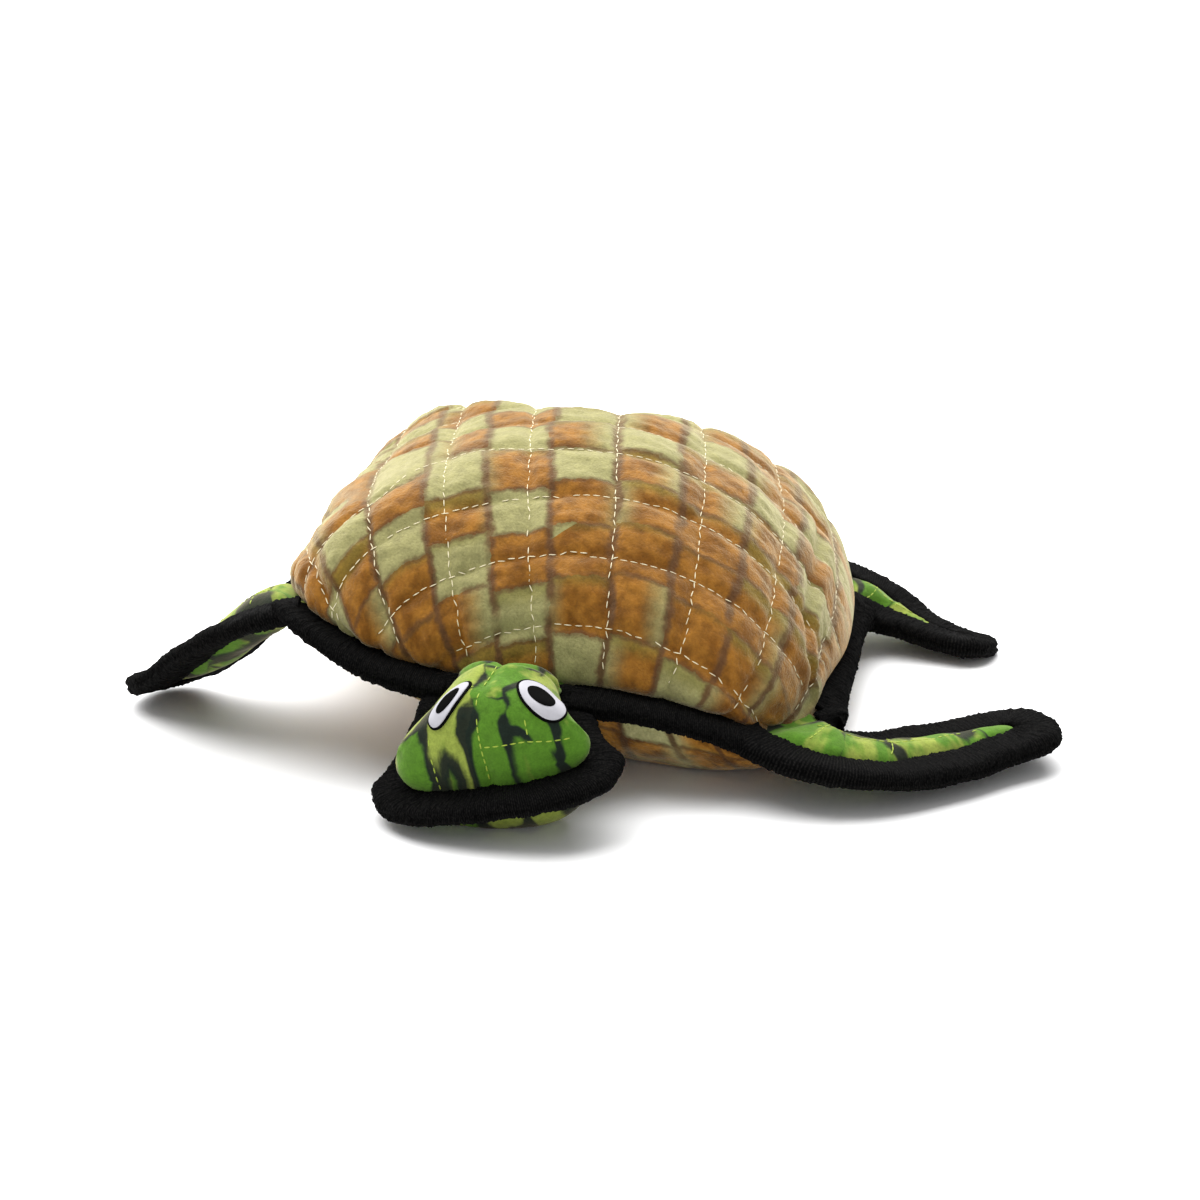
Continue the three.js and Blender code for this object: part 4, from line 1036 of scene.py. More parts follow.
@dataclass(frozen=True)
class Seam:
    """Run of machine stitches laid on a cover."""

    length: float = 3.0
    gap: float = 1.2
    width: float = 0.48
    lost_share: float = 0.06
    length_share: float = 1.04
    height_share: float = 0.8
    stand_share: float = 0.3
    sink_share: float = 0.35

    def lay(self, name: str, cover: bpy.types.Object, paths: list[Points]) -> bpy.types.Object:
        """Lays stitches along paths over a cover.

        Args:
            name: name of the piece.
            cover: the cover that they are sewn on.
            paths: lines of points close to the cover, in millimetres.

        Returns:
            All the stitches as one mesh.
        """
        bpy.ops.object.select_all(action="DESELECT")
        bpy.ops.mesh.primitive_uv_sphere_add(segments=6, ring_count=6, radius=0.5)
        model = bpy.context.object
        # the primitive's corners come in another order each run, so they are put in order
        found = np.array([v.co[:] for v in model.data.vertices])
        order = np.lexsort(found.round(4).T)
        rank = np.argsort(order)
        shape = found[order][:, [2, 1, 0]]
        corners = [rank[list(p.vertices)[::-1]].tolist() for p in model.data.polygons]
        corners = sorted(c[c.index(min(c)):] + c[:c.index(min(c))] for c in corners)
        bpy.data.objects.remove(model)
        tree = surface_of(cover)
        random = np.random.default_rng(len(paths))
        points, faces = [], []
        for path in paths:
            run = distances(path)
            for start in np.arange(0.0, run[-1] - self.length, self.length + self.gap):
                ends = [np.array([np.interp(start + d, run, path[:, k]) for k in range(3)])
                        for d in (0.0, self.length)]
                found = [tree.find_nearest(Vector(e * MM)) for e in ends]
                sink = random.uniform(0.0, 1.0)
                if sink < self.lost_share or any(f[0] is None for f in found):
                    continue
                (p, n0), (q, n1) = ((np.array(f[0]) / MM, np.array(f[1])) for f in found)
                along, normal = unit(q - p), unit(n0 + n1)
                across = unit(np.cross(normal, along))
                normal = np.cross(along, across)
                size = shape * np.array([self.length * self.length_share, self.width, self.width * self.height_share])
                middle = (p + q) / 2.0 + normal * self.width * (self.stand_share - self.sink_share * sink)
                placed = middle + size @ np.array([along, across, normal])
                faces += [[c + len(points) * len(shape) for c in face] for face in corners]
                points.append(placed)
        made = make_object(name, np.vstack(points), faces)
        shade_smooth(made)
        return made


class Side(Enum):
    """Upper or under side of a sewn form."""

    TOP = 1
    UNDER = -1


@dataclass(frozen=True)
class Bulge:
    """Soft bulge or hollow of the stuffed shell: where on the cloth, how wide and which way."""

    a: float
    b: float
    radius: float
    push: tuple[float, float, float]


@dataclass
class Body:
    """Quilted shell and belly covers, sewn together at the edge seam."""

    form: ShellForm
    roots: list[Root]
    wardrobe: Wardrobe
    half_cells: int = 44
    tuck_from: float = 0.915
    seam_inset: float = 6.0
    flat_share_low: float = 0.9
    flat_share_high: float = 0.16
    belly_round_low: float = 2.5
    belly_round_high: float = 1.06
    belly_flat_from: float = 0.12
    belly_flat_more: float = 0.6
    belly_foot: float = 0.95
    cloth_radius: float = 117.0
    cloth_power: float = 1.78
    stitched_to: float = 0.9
    column_pitch: float = 37.2
    column_at: float = -9.5
    row_pitch: float = 31.6
    row_at: float = -125.0
    column_lean: float = 0.14
    lean_from: float = -0.6
    sag_middle: float = 0.1
    sags: tuple[tuple[float, float, float, float], ...] = ((-1.0, 0.7, -0.12, -0.42), (1.0, 0.2, -0.5, -0.8))
    puff_mm: float = 2.2
    puff_round: float = 0.6
    groove_mm: float = 0.9
    groove_width_mm: float = 2.6
    mean_swell: float = 0.35
    cloth_waves: tuple[tuple[float, float, int, int], ...] = (
        (0.3, 13.0, 5, 7), (0.25, 6.0, 6, 7), (0.13, 3.2, 7, 12))
    crease: tuple[tuple[float, float], ...] = ((0.68, 0.1), (0.72, -0.3), (0.8, -0.52), (0.92, -0.62))
    crease_mm: float = 2.6
    crease_width_mm: float = 3.4
    crease_stretch: float = 0.3
    crease_swell: float = 0.7
    crease_swell_at: float = 1.8
    crease_swell_width: float = 1.3
    quilting_fades: tuple[float, float] = (0.99, 0.84)
    free_inside: float = 0.88
    shell_held_at: float = 0.93
    belly_held_at: float = 0.94
    bulges_fade: tuple[float, float] = (1.0, 0.93)
    bulges: tuple[Bulge, ...] = (
        Bulge(-0.93, -0.5, 0.22, (-5.0, -2.0, -4.0)),
        Bulge(0.0, 0.1, 1.1, (0.0, 0.0, -5.0)),
        Bulge(0.6, 0.0, 0.35, (4.0, 0.0, 2.0)),
        Bulge(0.95, -0.45, 0.25, (-4.5, 0.0, 0.0)),
        Bulge(-0.8, -0.08, 0.2, (-4.0, 0.0, 1.0)),
    )
    stuffing: Stuffing = Stuffing(pressure=4.0, slack=0.012, cap=2.2)

    def __post_init__(self) -> None:
        """Measures the crown's curve from its middle to its edge."""
        shares = np.linspace(0.0, 1.0, 4001)
        heights = self.form.lift(shares, self.cloth_power)
        run = np.concatenate([[0.0], np.cumsum(np.hypot(np.diff(shares * self.cloth_radius), np.diff(heights)))])
        self.share_table, self.run_table = shares, run
        self.half_cloth = float(run[-1])

    def sag(self, a: Points, b: Points) -> Points:
        """How far the rows run ahead of a straight line at a place on the cloth."""
        return sum(depth * smoothstep(b, begin, full) * np.maximum(way * (a - self.sag_middle), 0.0) ** 2
                   for way, depth, begin, full in self.sags)

    def quilt_axes(self, a: Points, b: Points) -> tuple[Points, Points]:
        """Coordinates in which the quilting lines are straight, from -1 to 1 each."""
        return a + self.column_lean * (b - self.lean_from), b + self.sag(a, b)

    def lines(self, pitch: float, at: float) -> Points:
        """Places of the quilting lines along one side of the cloth, as shares of its half.

        Args:
            pitch: distance between two lines, in millimetres.
            at: place of one of them, in millimetres from the middle.

        Returns:
            The places, from -1 to 1.
        """
        first = math.ceil((-self.half_cloth - at) / pitch)
        last = math.floor((self.half_cloth - at) / pitch)
        return (at + pitch * np.arange(first, last + 1)) / self.half_cloth

    def on_cloth(self, a: Points, b: Points) -> Points:
        """Places of points of the cloth on the filled shell, in millimetres.

        Args:
            a: cloth coordinates to the left, from -1 to 1.
            b: cloth coordinates to the rear, from -1 to 1.

        Returns:
            Points in millimetres.
        """
        x, y = ((np.clip(v, -1.0, 1.0) + 1.0) * self.half_cells for v in (a, b))
        i, j = (np.minimum(v.astype(int), 2 * self.half_cells - 1) for v in (x, y))
        fx, fy = (x - i)[:, None], (y - j)[:, None]
        near = self.placed[i, j] * (1 - fy) + self.placed[i, j + 1] * fy
        far = self.placed[i + 1, j] * (1 - fy) + self.placed[i + 1, j + 1] * fy
        return near * (1 - fx) + far * fx

    def quilt_paths(self) -> list[Points]:
        """Lines of the quilting over the shell.

        Returns:
            Rows of points in millimetres, one for each line.
        """
        run = np.linspace(-self.stitched_to, self.stitched_to, 160)
        paths = []
        for line in self.lines(self.column_pitch, self.column_at):
            a = line - self.column_lean * (run - self.lean_from)
            inside = np.abs(a) < self.stitched_to
            paths.append(self.on_cloth(a[inside], run[inside]))
        for line in self.lines(self.row_pitch, self.row_at):
            b = np.full_like(run, line)
            for _ in range(6):
                b = line - self.sag(run, b)
            inside = np.abs(b) < self.stitched_to
            paths.append(self.on_cloth(run[inside], b[inside]))
        return [path for path in paths if len(path) > 4]

    def grid(self) -> tuple[Points, Points]:
        """Two cloth coordinates of every grid point, from -1 to 1.

        Returns:
            Coordinates to the left and to the rear.
        """
        line = np.linspace(-1.0, 1.0, 2 * self.half_cells + 1)
        a, b = np.meshgrid(line, line, indexing="ij")
        return a.ravel(), b.ravel()

    def plan(self, a: Points, b: Points) -> tuple[Points, Points]:
        """Direction in plan and share of the way to the seam of each grid point.

        Args:
            a: cloth coordinates to the left, from -1 to 1.
            b: cloth coordinates to the rear, from -1 to 1.

        Returns:
            Shares of a turn and shares of the way out.
        """
        power = self.form.corner_power
        x = a * (1.0 - np.abs(b) ** power / 2.0) ** (1.0 / power)
        y = b * (1.0 - np.abs(a) ** power / 2.0) ** (1.0 / power)
        out = np.clip((np.abs(x) ** power + np.abs(y) ** power) ** (1.0 / power), 0.0, 1.0)
        direction = np.stack([x * self.form.half_width, y * self.form.reach(y)], -1)
        turn = np.arctan2(direction[:, 1], direction[:, 0]) / (2.0 * math.pi)
        return turn, out

    def crown_points(self, turn: Points, out: Points) -> Points:
        """Points of the shell's outside, from its top to the seam inside the tape.

        Args:
            turn: shares of a turn round the shell.
            out: shares of the way to the seam.

        Returns:
            Points in millimetres.
        """
        form = self.form
        edge = form.edge_point(turn)
        low = form.low_side(edge)
        power = form.side_power_high + (form.side_power_low - form.side_power_high) * low
        last = (1.0 - (form.overhang / form.crown_rise) ** form.crown_top_power) ** (1.0 / power)
        length = np.interp(last, self.share_table, self.run_table)
        share = np.interp(np.minimum(out / self.tuck_from, 1.0) * length, self.run_table, self.share_table)
        plan = edge * share[:, None]
        z = form.sheet_height(plan[:, 0], plan[:, 1]) + form.lift(share, power)
        dome = form.behind_roots(np.column_stack([plan, z]), self.roots)
        t = np.clip((out - self.tuck_from) / (1.0 - self.tuck_from), 0.0, 1.0)
        start = np.linalg.norm(edge, axis=1) * (1.0 - last)
        # control points of the tuck under the overhang: inset from the seam and height over it
        tuck_curve = [(start, form.overhang), (start - 1.0, 9.0), (3.5, 5.6), (COVER_INSET - 0.6, 4.4),
                      (self.seam_inset, 0.0)]
        inset, lift = np.zeros_like(t), np.zeros_like(t)
        for weight, (inwards, height) in zip(bernstein(len(tuck_curve) - 1, t), tuck_curve):
            inset += weight * inwards
            lift += weight * height
        tuck = form.behind_roots(form.seam_point(turn, inset, lift), self.roots)
        return np.where((t > 0.0)[:, None], tuck, dome)

    def belly_points(self, turn: Points, out: Points) -> Points:
        """Points of the belly's outside, from its middle to the seam inside the tape.

        Args:
            turn: shares of a turn round the shell.
            out: shares of the way to the seam.

        Returns:
            Points in millimetres.
        """
        form = self.form
        edge = form.edge_point(turn)
        low = form.low_side(edge)
        flat = self.flat_share_high + (self.flat_share_low - self.flat_share_high) * low
        power = self.belly_round_high + (self.belly_round_low - self.belly_round_high) * low
        out_flat, out_foot = self.belly_flat_from + self.belly_flat_more * low, self.belly_foot
        rounded = np.clip((out - out_flat) / (out_foot - out_flat), 0.0, 1.0)
        foot = form.behind_roots(form.seam_point(turn, np.full_like(out, COVER_INSET), 0.0), self.roots)
        bulge = np.sin(rounded * math.pi / 2.0)
        inner = edge * flat[:, None]
        plan = inner + (foot[:, :2] - inner) * bulge[:, None]
        middle = edge * (flat * np.clip(out / out_flat, 0.0, 1.0))[:, None]
        plan = np.where((out < out_flat)[:, None], middle, plan)
        seam = form.sheet_height(foot[:, 0], foot[:, 1]) - TAPE_HALF_DEPTH - TAPE_CLEARANCE
        z = np.where(out < out_flat, 0.0, seam * (1.0 - (1.0 - bulge**power) ** (1.0 / power)))
        t = np.clip((out - out_foot) / (1.0 - out_foot), 0.0, 1.0)
        inset = COVER_INSET + (self.seam_inset - COVER_INSET) * t
        lift = -(TAPE_HALF_DEPTH + TAPE_CLEARANCE) * (1.0 - t)
        under = form.behind_roots(form.seam_point(turn, inset, lift), self.roots)
        return np.where((t > 0.0)[:, None], under, np.column_stack([plan, z]))

    def build(self) -> None:
        """Makes, fills and quilts the two covers."""
        a, b = self.grid()
        turn, out = self.plan(a, b)
        crown = self.crown_points(turn, out)
        belly = self.belly_points(turn, out)
        for bulge in self.bulges:
            near = np.exp(-((a - bulge.a) ** 2 + (b - bulge.b) ** 2) / bulge.radius**2)
            crown += near[:, None] * smoothstep(out, *self.bulges_fade)[:, None] * np.array(bulge.push)
        n = 2 * self.half_cells + 1
        rim = np.maximum(np.abs(a), np.abs(b)) > 1.0 - 1e-9
        belly_index = np.where(rim, np.arange(n * n), 0)
        inner = np.nonzero(~rim)[0]
        belly_index[inner] = n * n + np.arange(len(inner))
        points = np.vstack([crown, belly[inner]])
        cloth_a, cloth_b = self.quilt_axes(a, b)
        flat = np.column_stack([cloth_a, cloth_b, np.zeros_like(a)]) * self.half_cloth
        under = np.column_stack([a + BELLY_PRINT_AT, b, np.zeros_like(a)]) * self.half_cloth
        cloth = np.vstack([flat, under[inner]])
        quads = [(i * n + j, (i + 1) * n + j, (i + 1) * n + j + 1, i * n + j + 1)
                 for i in range(n - 1) for j in range(n - 1)]
        faces = quads + [tuple(belly_index[list(reversed(q))]) for q in quads]
        body = make_object("body_cover", points, faces, cloth)
        on_floor = np.where(belly[inner, 2] < FLOOR_HOLDS, 1.0, 0.0)
        held = np.maximum(on_floor, smoothstep(out[inner], self.free_inside, self.belly_held_at))
        self.stuffing.plump(body, np.concatenate([smoothstep(out, self.free_inside, self.shell_held_at), held]))
        placed = above_floor(coordinates(body))
        set_coordinates(body, placed)
        self.placed = placed[:n * n].reshape(n, n, 3)
        shell = self.part(body, "shell_cover", range(len(quads)))
        under_cover = self.part(body, "belly_cover", range(len(quads), 2 * len(quads)))
        bpy.data.objects.remove(body)
        subdivide(shell)
        self.quilt(shell)
        self.sew(shell)
        subdivide(under_cover)
        self.finish(shell, self.wardrobe.shell, ("shell_fleece", "shell_wadding"))
        self.finish(under_cover, self.wardrobe.belly, ("belly_fleece", "body_stuffing"))

    def part(self, body: bpy.types.Object, name: str, faces: range) -> bpy.types.Object:
        """One cover of the sewn body, from a run of its faces.

        Args:
            body: the two covers as one mesh.
            name: name of the cover.
            faces: numbers of its faces.

        Returns:
            The cover as a piece of its own.
        """
        points = coordinates(body)
        corners = [list(body.data.polygons[f].vertices) for f in faces]
        used = np.unique(np.array(corners))
        index = np.full(len(points), -1)
        index[used] = np.arange(len(used))
        flat = cloth_places(body)[used]
        if name == "belly_cover":
            shift = BELLY_PRINT_AT * self.half_cloth
            flat[:, 0] = np.where(flat[:, 0] > shift / 2.0, flat[:, 0], flat[:, 0] + shift)
        return make_object(name, points[used], [index[c] for c in corners], flat)

    def quilt(self, shell: bpy.types.Object) -> None:
        """Sinks the quilting lines into the shell and puffs the cloth between them.

        Args:
            shell: the shell cover.
        """
        flat = cloth_places(shell)[:, :2]
        pitches = np.array([self.column_pitch, self.row_pitch])
        turns = (flat - np.array([self.column_at, self.row_at])) / pitches
        swell = np.prod(np.abs(np.sin(math.pi * turns)), 1) ** self.puff_round
        nearest = (np.abs(turns - np.round(turns)) * pitches).min(1)
        groove = np.exp(-((nearest / self.groove_width_mm) ** 2)) * self.groove_mm
        waves = sum(height * ripple(flat, *kind) for height, *kind in self.cloth_waves)
        points, normals = coordinates(shell), vertex_normals(shell)
        edge = smoothstep(np.abs(flat).max(1), *(share * self.half_cloth for share in self.quilting_fades))
        a, b = np.array(self.crease).T
        fold = np.column_stack(self.quilt_axes(a, b)) * self.half_cloth
        fold_y = np.clip(flat[:, 1], fold[-1, 1], fold[0, 1])
        fold_x = np.interp(-fold_y, -fold[:, 1], fold[:, 0])
        side = (flat[:, 0] - fold_x) / self.crease_width_mm
        off = np.hypot(flat[:, 0] - fold_x, (flat[:, 1] - fold_y) * self.crease_stretch) / self.crease_width_mm
        beside = np.exp(-(((side - self.crease_swell_at) / self.crease_swell_width) ** 2) - (off / 4.0) ** 2)
        crease = self.crease_mm * (np.exp(-(off**2)) - self.crease_swell * beside)
        depth = (swell - self.mean_swell) * self.puff_mm - groove + waves - crease
        set_coordinates(shell, points + normals * (depth * edge)[:, None])

    def sew(self, shell: bpy.types.Object) -> None:
        """Lays the quilting stitches on the shell.

        Args:
            shell: the shell cover.
        """
        stitches = Seam().lay("quilting_stitches", shell, self.quilt_paths())
        dress(stitches, self.wardrobe.cream)
        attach(stitches, "shell")

    def finish(self, obj: bpy.types.Object, material: bpy.types.Material,
               nodes: tuple[str, ...]) -> None:
        """Dresses, thickens and declares a cover.

        Args:
            obj: the piece.
            material: its finish.
            nodes: CAD nodes that it replaces.
        """
        dress(obj, material)
        wall = obj.modifiers.new("Thickness", "SOLIDIFY")
        wall.thickness = CLOTH_THICKNESS * MM
        wall.offset = -1.0
        apply_modifiers(obj)
        shade_smooth(obj)
        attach(obj, "shell")
        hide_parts(*nodes)
        log.info("%s: %d faces", obj.name, len(obj.data.polygons))


def bernstein(degree: int, t: Points) -> list[Points]:
    """Weights of the control points of a Bezier curve at each parameter."""
    return [math.comb(degree, k) * (1.0 - t) ** (degree - k) * t**k for k in range(degree + 1)]


@dataclass(frozen=True)
class TapeForm:
    """Section of the binding tape, folded over the seam allowance."""

    width: float = TAPE_WIDTH
    half_depth: float = TAPE_HALF_DEPTH
    thickness: float = 1.6
    rib_step: float = 0.6
    rib_height: float = 0.07
    fuzz_height: float = 0.2
    wander: float = 0.25
    inner_lanes: int = 6

    def section(self) -> tuple[Points, Points]:
        """Insets and heights of the folded section, once round.

        Returns:
            Insets and heights in millimetres.
        """
        half, deep = self.width / 2.0, self.half_depth
        outer = [(half, deep - 1.0), (half - 0.8, deep - 0.2), (half - 3.2, deep), (half - 6.4, deep + 0.1),
                 (0.0, deep), (-half + 6.4, deep), (-half + 3.4, deep - 0.3), (-half + 1.5, deep - 1.1),
                 (-half + 0.5, deep - 2.4), (-half + 0.2, 1.3), (-half + 1.1, 0.0)]
        lower = [(x, -z) for x, z in reversed(outer[:-1])]
        inner = [(half, -deep + self.thickness), (0.0, -deep + self.thickness), (-half + 2.2, -deep + 2.4),
                 (-half + 2.2, deep - 2.4), (0.0, deep - self.thickness), (half, deep - self.thickness)]
        loop = np.array(outer + lower + inner)
        return loop[:, 0], loop[:, 1]

    def sweep(self, name: str, rails: Callable[[float, float], Points], run: Points) -> bpy.types.Object:
        """Sweeps the section along a path.

        Args:
            name: name of the piece.
            rails: gives the points of the path at an inset and a height.
            run: distance along the path at each station, in millimetres.

        Returns:
            The tape, closed at both ends.
        """
        insets, heights = self.section()
        lanes = [rails(float(x), float(z)) for x, z in zip(insets, heights)]
        count, stations = len(lanes), len(run)
        points = np.stack(lanes, 1).reshape(-1, 3)
        faces = tube_faces(stations, count)
        faces += [tuple(range(count))[::-1], tuple((stations - 1) * count + i for i in range(count))]
        cloth = np.zeros((len(points), 3))
        cloth[:, 0] = np.repeat(run, count)
        cloth[:, 1] = np.tile(insets, stations)
        cloth[:, 2] = np.tile(heights, stations)
        made = make_object(name, points, faces, cloth)
        face_outwards(made)
        normals = vertex_normals(made)
        outer = np.tile(np.arange(count) < count - self.inner_lanes, stations)
        ribs = np.where(np.repeat(np.arange(stations), count) % 2 == 0, self.rib_height, -self.rib_height)
        fuzz = np.random.default_rng(21).normal(size=len(points)) * self.fuzz_height
        fuzz += ripple(points, 1.8, 23, 12) * self.fuzz_height
        uneven = ripple(points, 9.0, 22) * self.wander
        set_coordinates(made, above_floor(points + normals * ((ribs + fuzz + uneven) * outer)[:, None]))
        return made


@dataclass
class BodyTape:
    """Strip of tape on the shell's seam from one limb to the next."""

    form: ShellForm
    place: str
    start: float
    end: float
    tucks: tuple[tuple[float, float], ...] = ((0.0, 0.0), (1.0, 0.0))
    tape: TapeForm = TapeForm()

    def build(self, wardrobe: Wardrobe) -> None:
        """Makes the strip, tucked in under the shell by the given amounts along it.

        Args:
            wardrobe: the toy's finishes.
        """
        fine = np.linspace(self.start / 360.0, self.end / 360.0, 2001)
        plan = self.form.edge_point(fine)
        run = distances(plan)
        stations = np.linspace(0.0, run[-1], int(run[-1] / self.tape.rib_step) + 1)
        shares = np.interp(stations, run, fine)
        wander = 0.5 * ripple(self.form.seam_point(shares, np.zeros_like(shares), 0.0), 60.0, 31)
        wander += np.interp(stations / run[-1], *np.array(self.tucks).T)

        def rails(inset: float, height: float) -> Points:
            """Points of one lane of the strip."""
            return self.form.seam_point(shares, inset + wander, height)

        made = self.tape.sweep(f"{self.place}_binding", rails, stations)
        shade_smooth(made)
        dress(made, wardrobe.tape)
        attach(made, "shell")
        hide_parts(f"tape_{self.place}")
        log.info("%s: %.0f mm long", made.name, run[-1])


@dataclass
class Limb:
    """Stuffed limb: a cover of two panels, tape round its edge and stitching on top."""

    sizes: LimbSizes
    form: ShellForm
    wardrobe: Wardrobe
    cheek: tuple[float, float] = (0.0, 0.0)
    last_turn: float = 90.0
    thin_share: float = 0.7
    cells_along: int = 64
    cells_across: int = 14
    print_share: float = 0.45
    tip_share: float = 0.42
    thin_power: float = 1.5
    root_power: float = 4.0
    cheek_fades: tuple[float, float] = (1.0, 0.9)
    free_from: float = 8.0
    held_to: float = 2.0
    wrinkles: tuple[tuple[float, float, int], ...] = ((0.3, 9.0, 41), (0.4, 22.0, 42))
    bends_from: float = -3.0
    bends_to: float = 9.0
    tape: TapeForm = TapeForm()
    stuffing: Stuffing = Stuffing(pressure=3.0, slack=0.03, cap=1.5)

    def __post_init__(self) -> None:
        """Fits the limb's blade."""
        self.root = self.form.root_line(self.sizes.root_from, self.sizes.root_to)
        self.blade = Blade(self.root, self.sizes)
        self.side_length = self.blade.length - self.sizes.tip_depth

    def half_width(self, u: Points) -> Points:
        """Half of the limb's width, on its straight sides."""
        share = np.clip(u / self.side_length, 0.0, 1.0) ** self.sizes.taper_power
        return self.root.half_width + (self.sizes.tip_half_width - self.root.half_width) * share

    def outline(self, inset: float, start: float, steps: int) -> tuple[Points, Points]:
        """Half of the sewing outline inside an inset, from the root to the tip's middle.

        Args:
            inset: distance inwards from the edge.
            start: where along the limb it begins.
            steps: how many points it has.

        Returns:
            Distances along and half widths.
        """
        depth = max(self.sizes.tip_depth - inset, LEAST_HALF)
        tip_half = max(self.sizes.tip_half_width - inset, LEAST_HALF)
        turn = int(steps * self.tip_share)
        u = np.linspace(start, self.side_length, steps - turn, endpoint=False)
        half = np.maximum(self.half_width(u) - inset, LEAST_HALF)
        angle = np.linspace(0.0, math.pi / 2.0, turn)
        ahead = depth * np.sin(angle) ** (2.0 / self.sizes.end_power)
        aside = tip_half * np.clip(np.cos(angle), 0.0, 1.0) ** (2.0 / self.sizes.end_power)
        return np.concatenate([u, self.side_length + ahead]), np.concatenate([half, aside])

    def rise(self, side: Side, u: Points) -> Points:
        """Height of the stuffed ridge over the blade."""
        full = self.sizes.top_rise if side is Side.TOP else self.sizes.under_rise
        return full * (1.0 - self.thin_share * np.clip(u / self.blade.length, 0.0, 1.0) ** self.thin_power)

    def peak(self, side: Side) -> float:
        """How peaked the section is: 1 is an ellipse, more is sharper."""
        return 1.0

    def lean(self, side: Side, u: Points, height: Points) -> Points:
        """How far the stuffing leans over to one side at a height."""
        return 0.0 * height

    def ridge(self, side: Side) -> tuple[float, float]:
        """Where the stuffed ridge begins and ends."""
        return self.side_length * self.sizes.ridge_from, self.side_length - COVER_INSET / 2.0

    def outness(self, side: Side, u: Points, s_share: Points, inset: float) -> Points:
        """How far from the ridge a point is, as a share of the way to the stitching.

        Args:
            side: upper or under side.
            u: distances along the limb.
            s_share: shares of the way across it.
            inset: distance inwards from the edge.

        Returns:
            One share for each point.
        """
        first, last = self.ridge(side)
        end = self.side_length + max(self.sizes.tip_depth - inset, LEAST_HALF)
        near_root = np.clip((first - u) / first, 0.0, 1.0)
        near_tip = np.clip((u - last) / (end - last), 0.0, 1.0)
        across = np.abs(s_share)
        root_power, tip_power = self.root_power, self.sizes.end_power
        at_root = (across**root_power + near_root**root_power) ** (1.0 / root_power)
        at_tip = (across**tip_power + near_tip**tip_power) ** (1.0 / tip_power)
        return np.clip(np.where(u < first, at_root, np.where(u > last, at_tip, across)), 0.0, 1.0)

    def cover_points(self) -> tuple[Points, Points, int, int]:
        """Points of the cover, ring by ring from inside the body to the tip.

        Returns:
            Points, their places on the flat cloth, and how many rings and points to a ring.
        """
        inset = LIMB_COVER_INSET
        u, half = self.outline(inset, LIMB_COVER_FROM, self.cells_along)
        widest = float(half.max())
        angles = np.linspace(-math.pi / 2.0, math.pi / 2.0, self.cells_across + 1)
        last = math.radians(self.last_turn)
        rings, flats = [], []
        for side, cheek in zip(Side, self.cheek):
            turn = angles if side is Side.TOP else -angles
            share = np.sin(turn)
            uu, ss = np.meshgrid(u, share, indexing="ij")
            hh = np.repeat(half[:, None], len(share), 1)
            width_share = np.clip(hh / np.maximum(self.half_width(uu) - inset, LEAST_HALF), 0.0, 1.0)
            out = self.outness(side, uu, ss * width_share, inset)
            slope = np.cos(np.arcsin(out) * last / (math.pi / 2.0))
            height = self.rise(side, uu) * slope ** self.peak(side)
            tucked = smoothstep(uu, LIMB_COVER_FROM, LIMB_COVER_FULL)
            height = LEAST_HALF + (np.maximum(height, LEAST_HALF) - LEAST_HALF) * tucked
            edge = smoothstep(np.abs(ss), 0.93, 1.0)
            height = height * (1.0 - edge)
            bulge = 1.0 + (cheek / widest) * out**2 * smoothstep(np.abs(ss), *self.cheek_fades)
            s = ss * hh * bulge + self.lean(side, uu, height)
            placed = self.blade.at(uu.ravel(), s.ravel(), side.value * height.ravel())
            keep = slice(0, len(share) - 1)
            rings.append(placed.reshape(len(u), len(share), 3)[:, keep])
            print_at = 0.0 if side is Side.TOP else UNDERSIDE_PRINT_AT
            flat = np.stack([uu, s * self.print_share + print_at, 0 * uu], -1)
            flats.append(flat[:, keep])
        points = np.concatenate(rings, 1)
        cloth = np.concatenate(flats, 1)
        return points.reshape(-1, 3), cloth.reshape(-1, 3), points.shape[0], points.shape[1]

    def build_cover(self) -> bpy.types.Object:
        """Makes and fills the cover.

        Returns:
            The cover, filled and smoothed.
        """
        points, cloth, rings, around = self.cover_points()
        shift = LIMB_PRINT_FROM + LIMB_PRINT_APART * (sum(map(ord, self.sizes.name)) % 7)
        cloth = cloth + np.array([shift, shift, 0.0])
        faces = [(a, d, c, b) for a, b, c, d in tube_faces(rings, around)]
        faces.append(tuple(range(around)))
        cover = make_object(f"{self.sizes.name}_cover", points, faces, cloth)
        face_outwards(cover, weld_mm=0.02)
        self.stuffing.plump(cover, smoothstep(cloth_places(cover)[:, 0] - shift, self.free_from, self.held_to))
        subdivide(cover)
        points, normals = coordinates(cover), vertex_normals(cover)
        wrinkle = sum(height * ripple(points, length, seed) for height, length, seed in self.wrinkles)
        flat = cloth_places(cover) - shift
        is_top = np.where(flat[:, 1] < UNDERSIDE_PRINT_AT / 2.0, 1.0, 0.0)
        wrinkle += self.relief(flat[:, 0], flat[:, 1], is_top)
        set_coordinates(cover, above_floor(points + normals * wrinkle[:, None]))
        return cover

    def build_tape(self) -> bpy.types.Object:
        """Makes the tape round the limb's edge.

        Returns:
            The tape.
        """
        steps = 400
        u, half = self.outline(0.0, LIMB_TAPE_FROM, steps)
        path = np.column_stack([np.concatenate([u, u[-2::-1]]), np.concatenate([half, -half[-2::-1]])])
        run = distances(path)
        stations = np.linspace(0.0, run[-1], int(run[-1] / self.tape.rib_step) + 1)

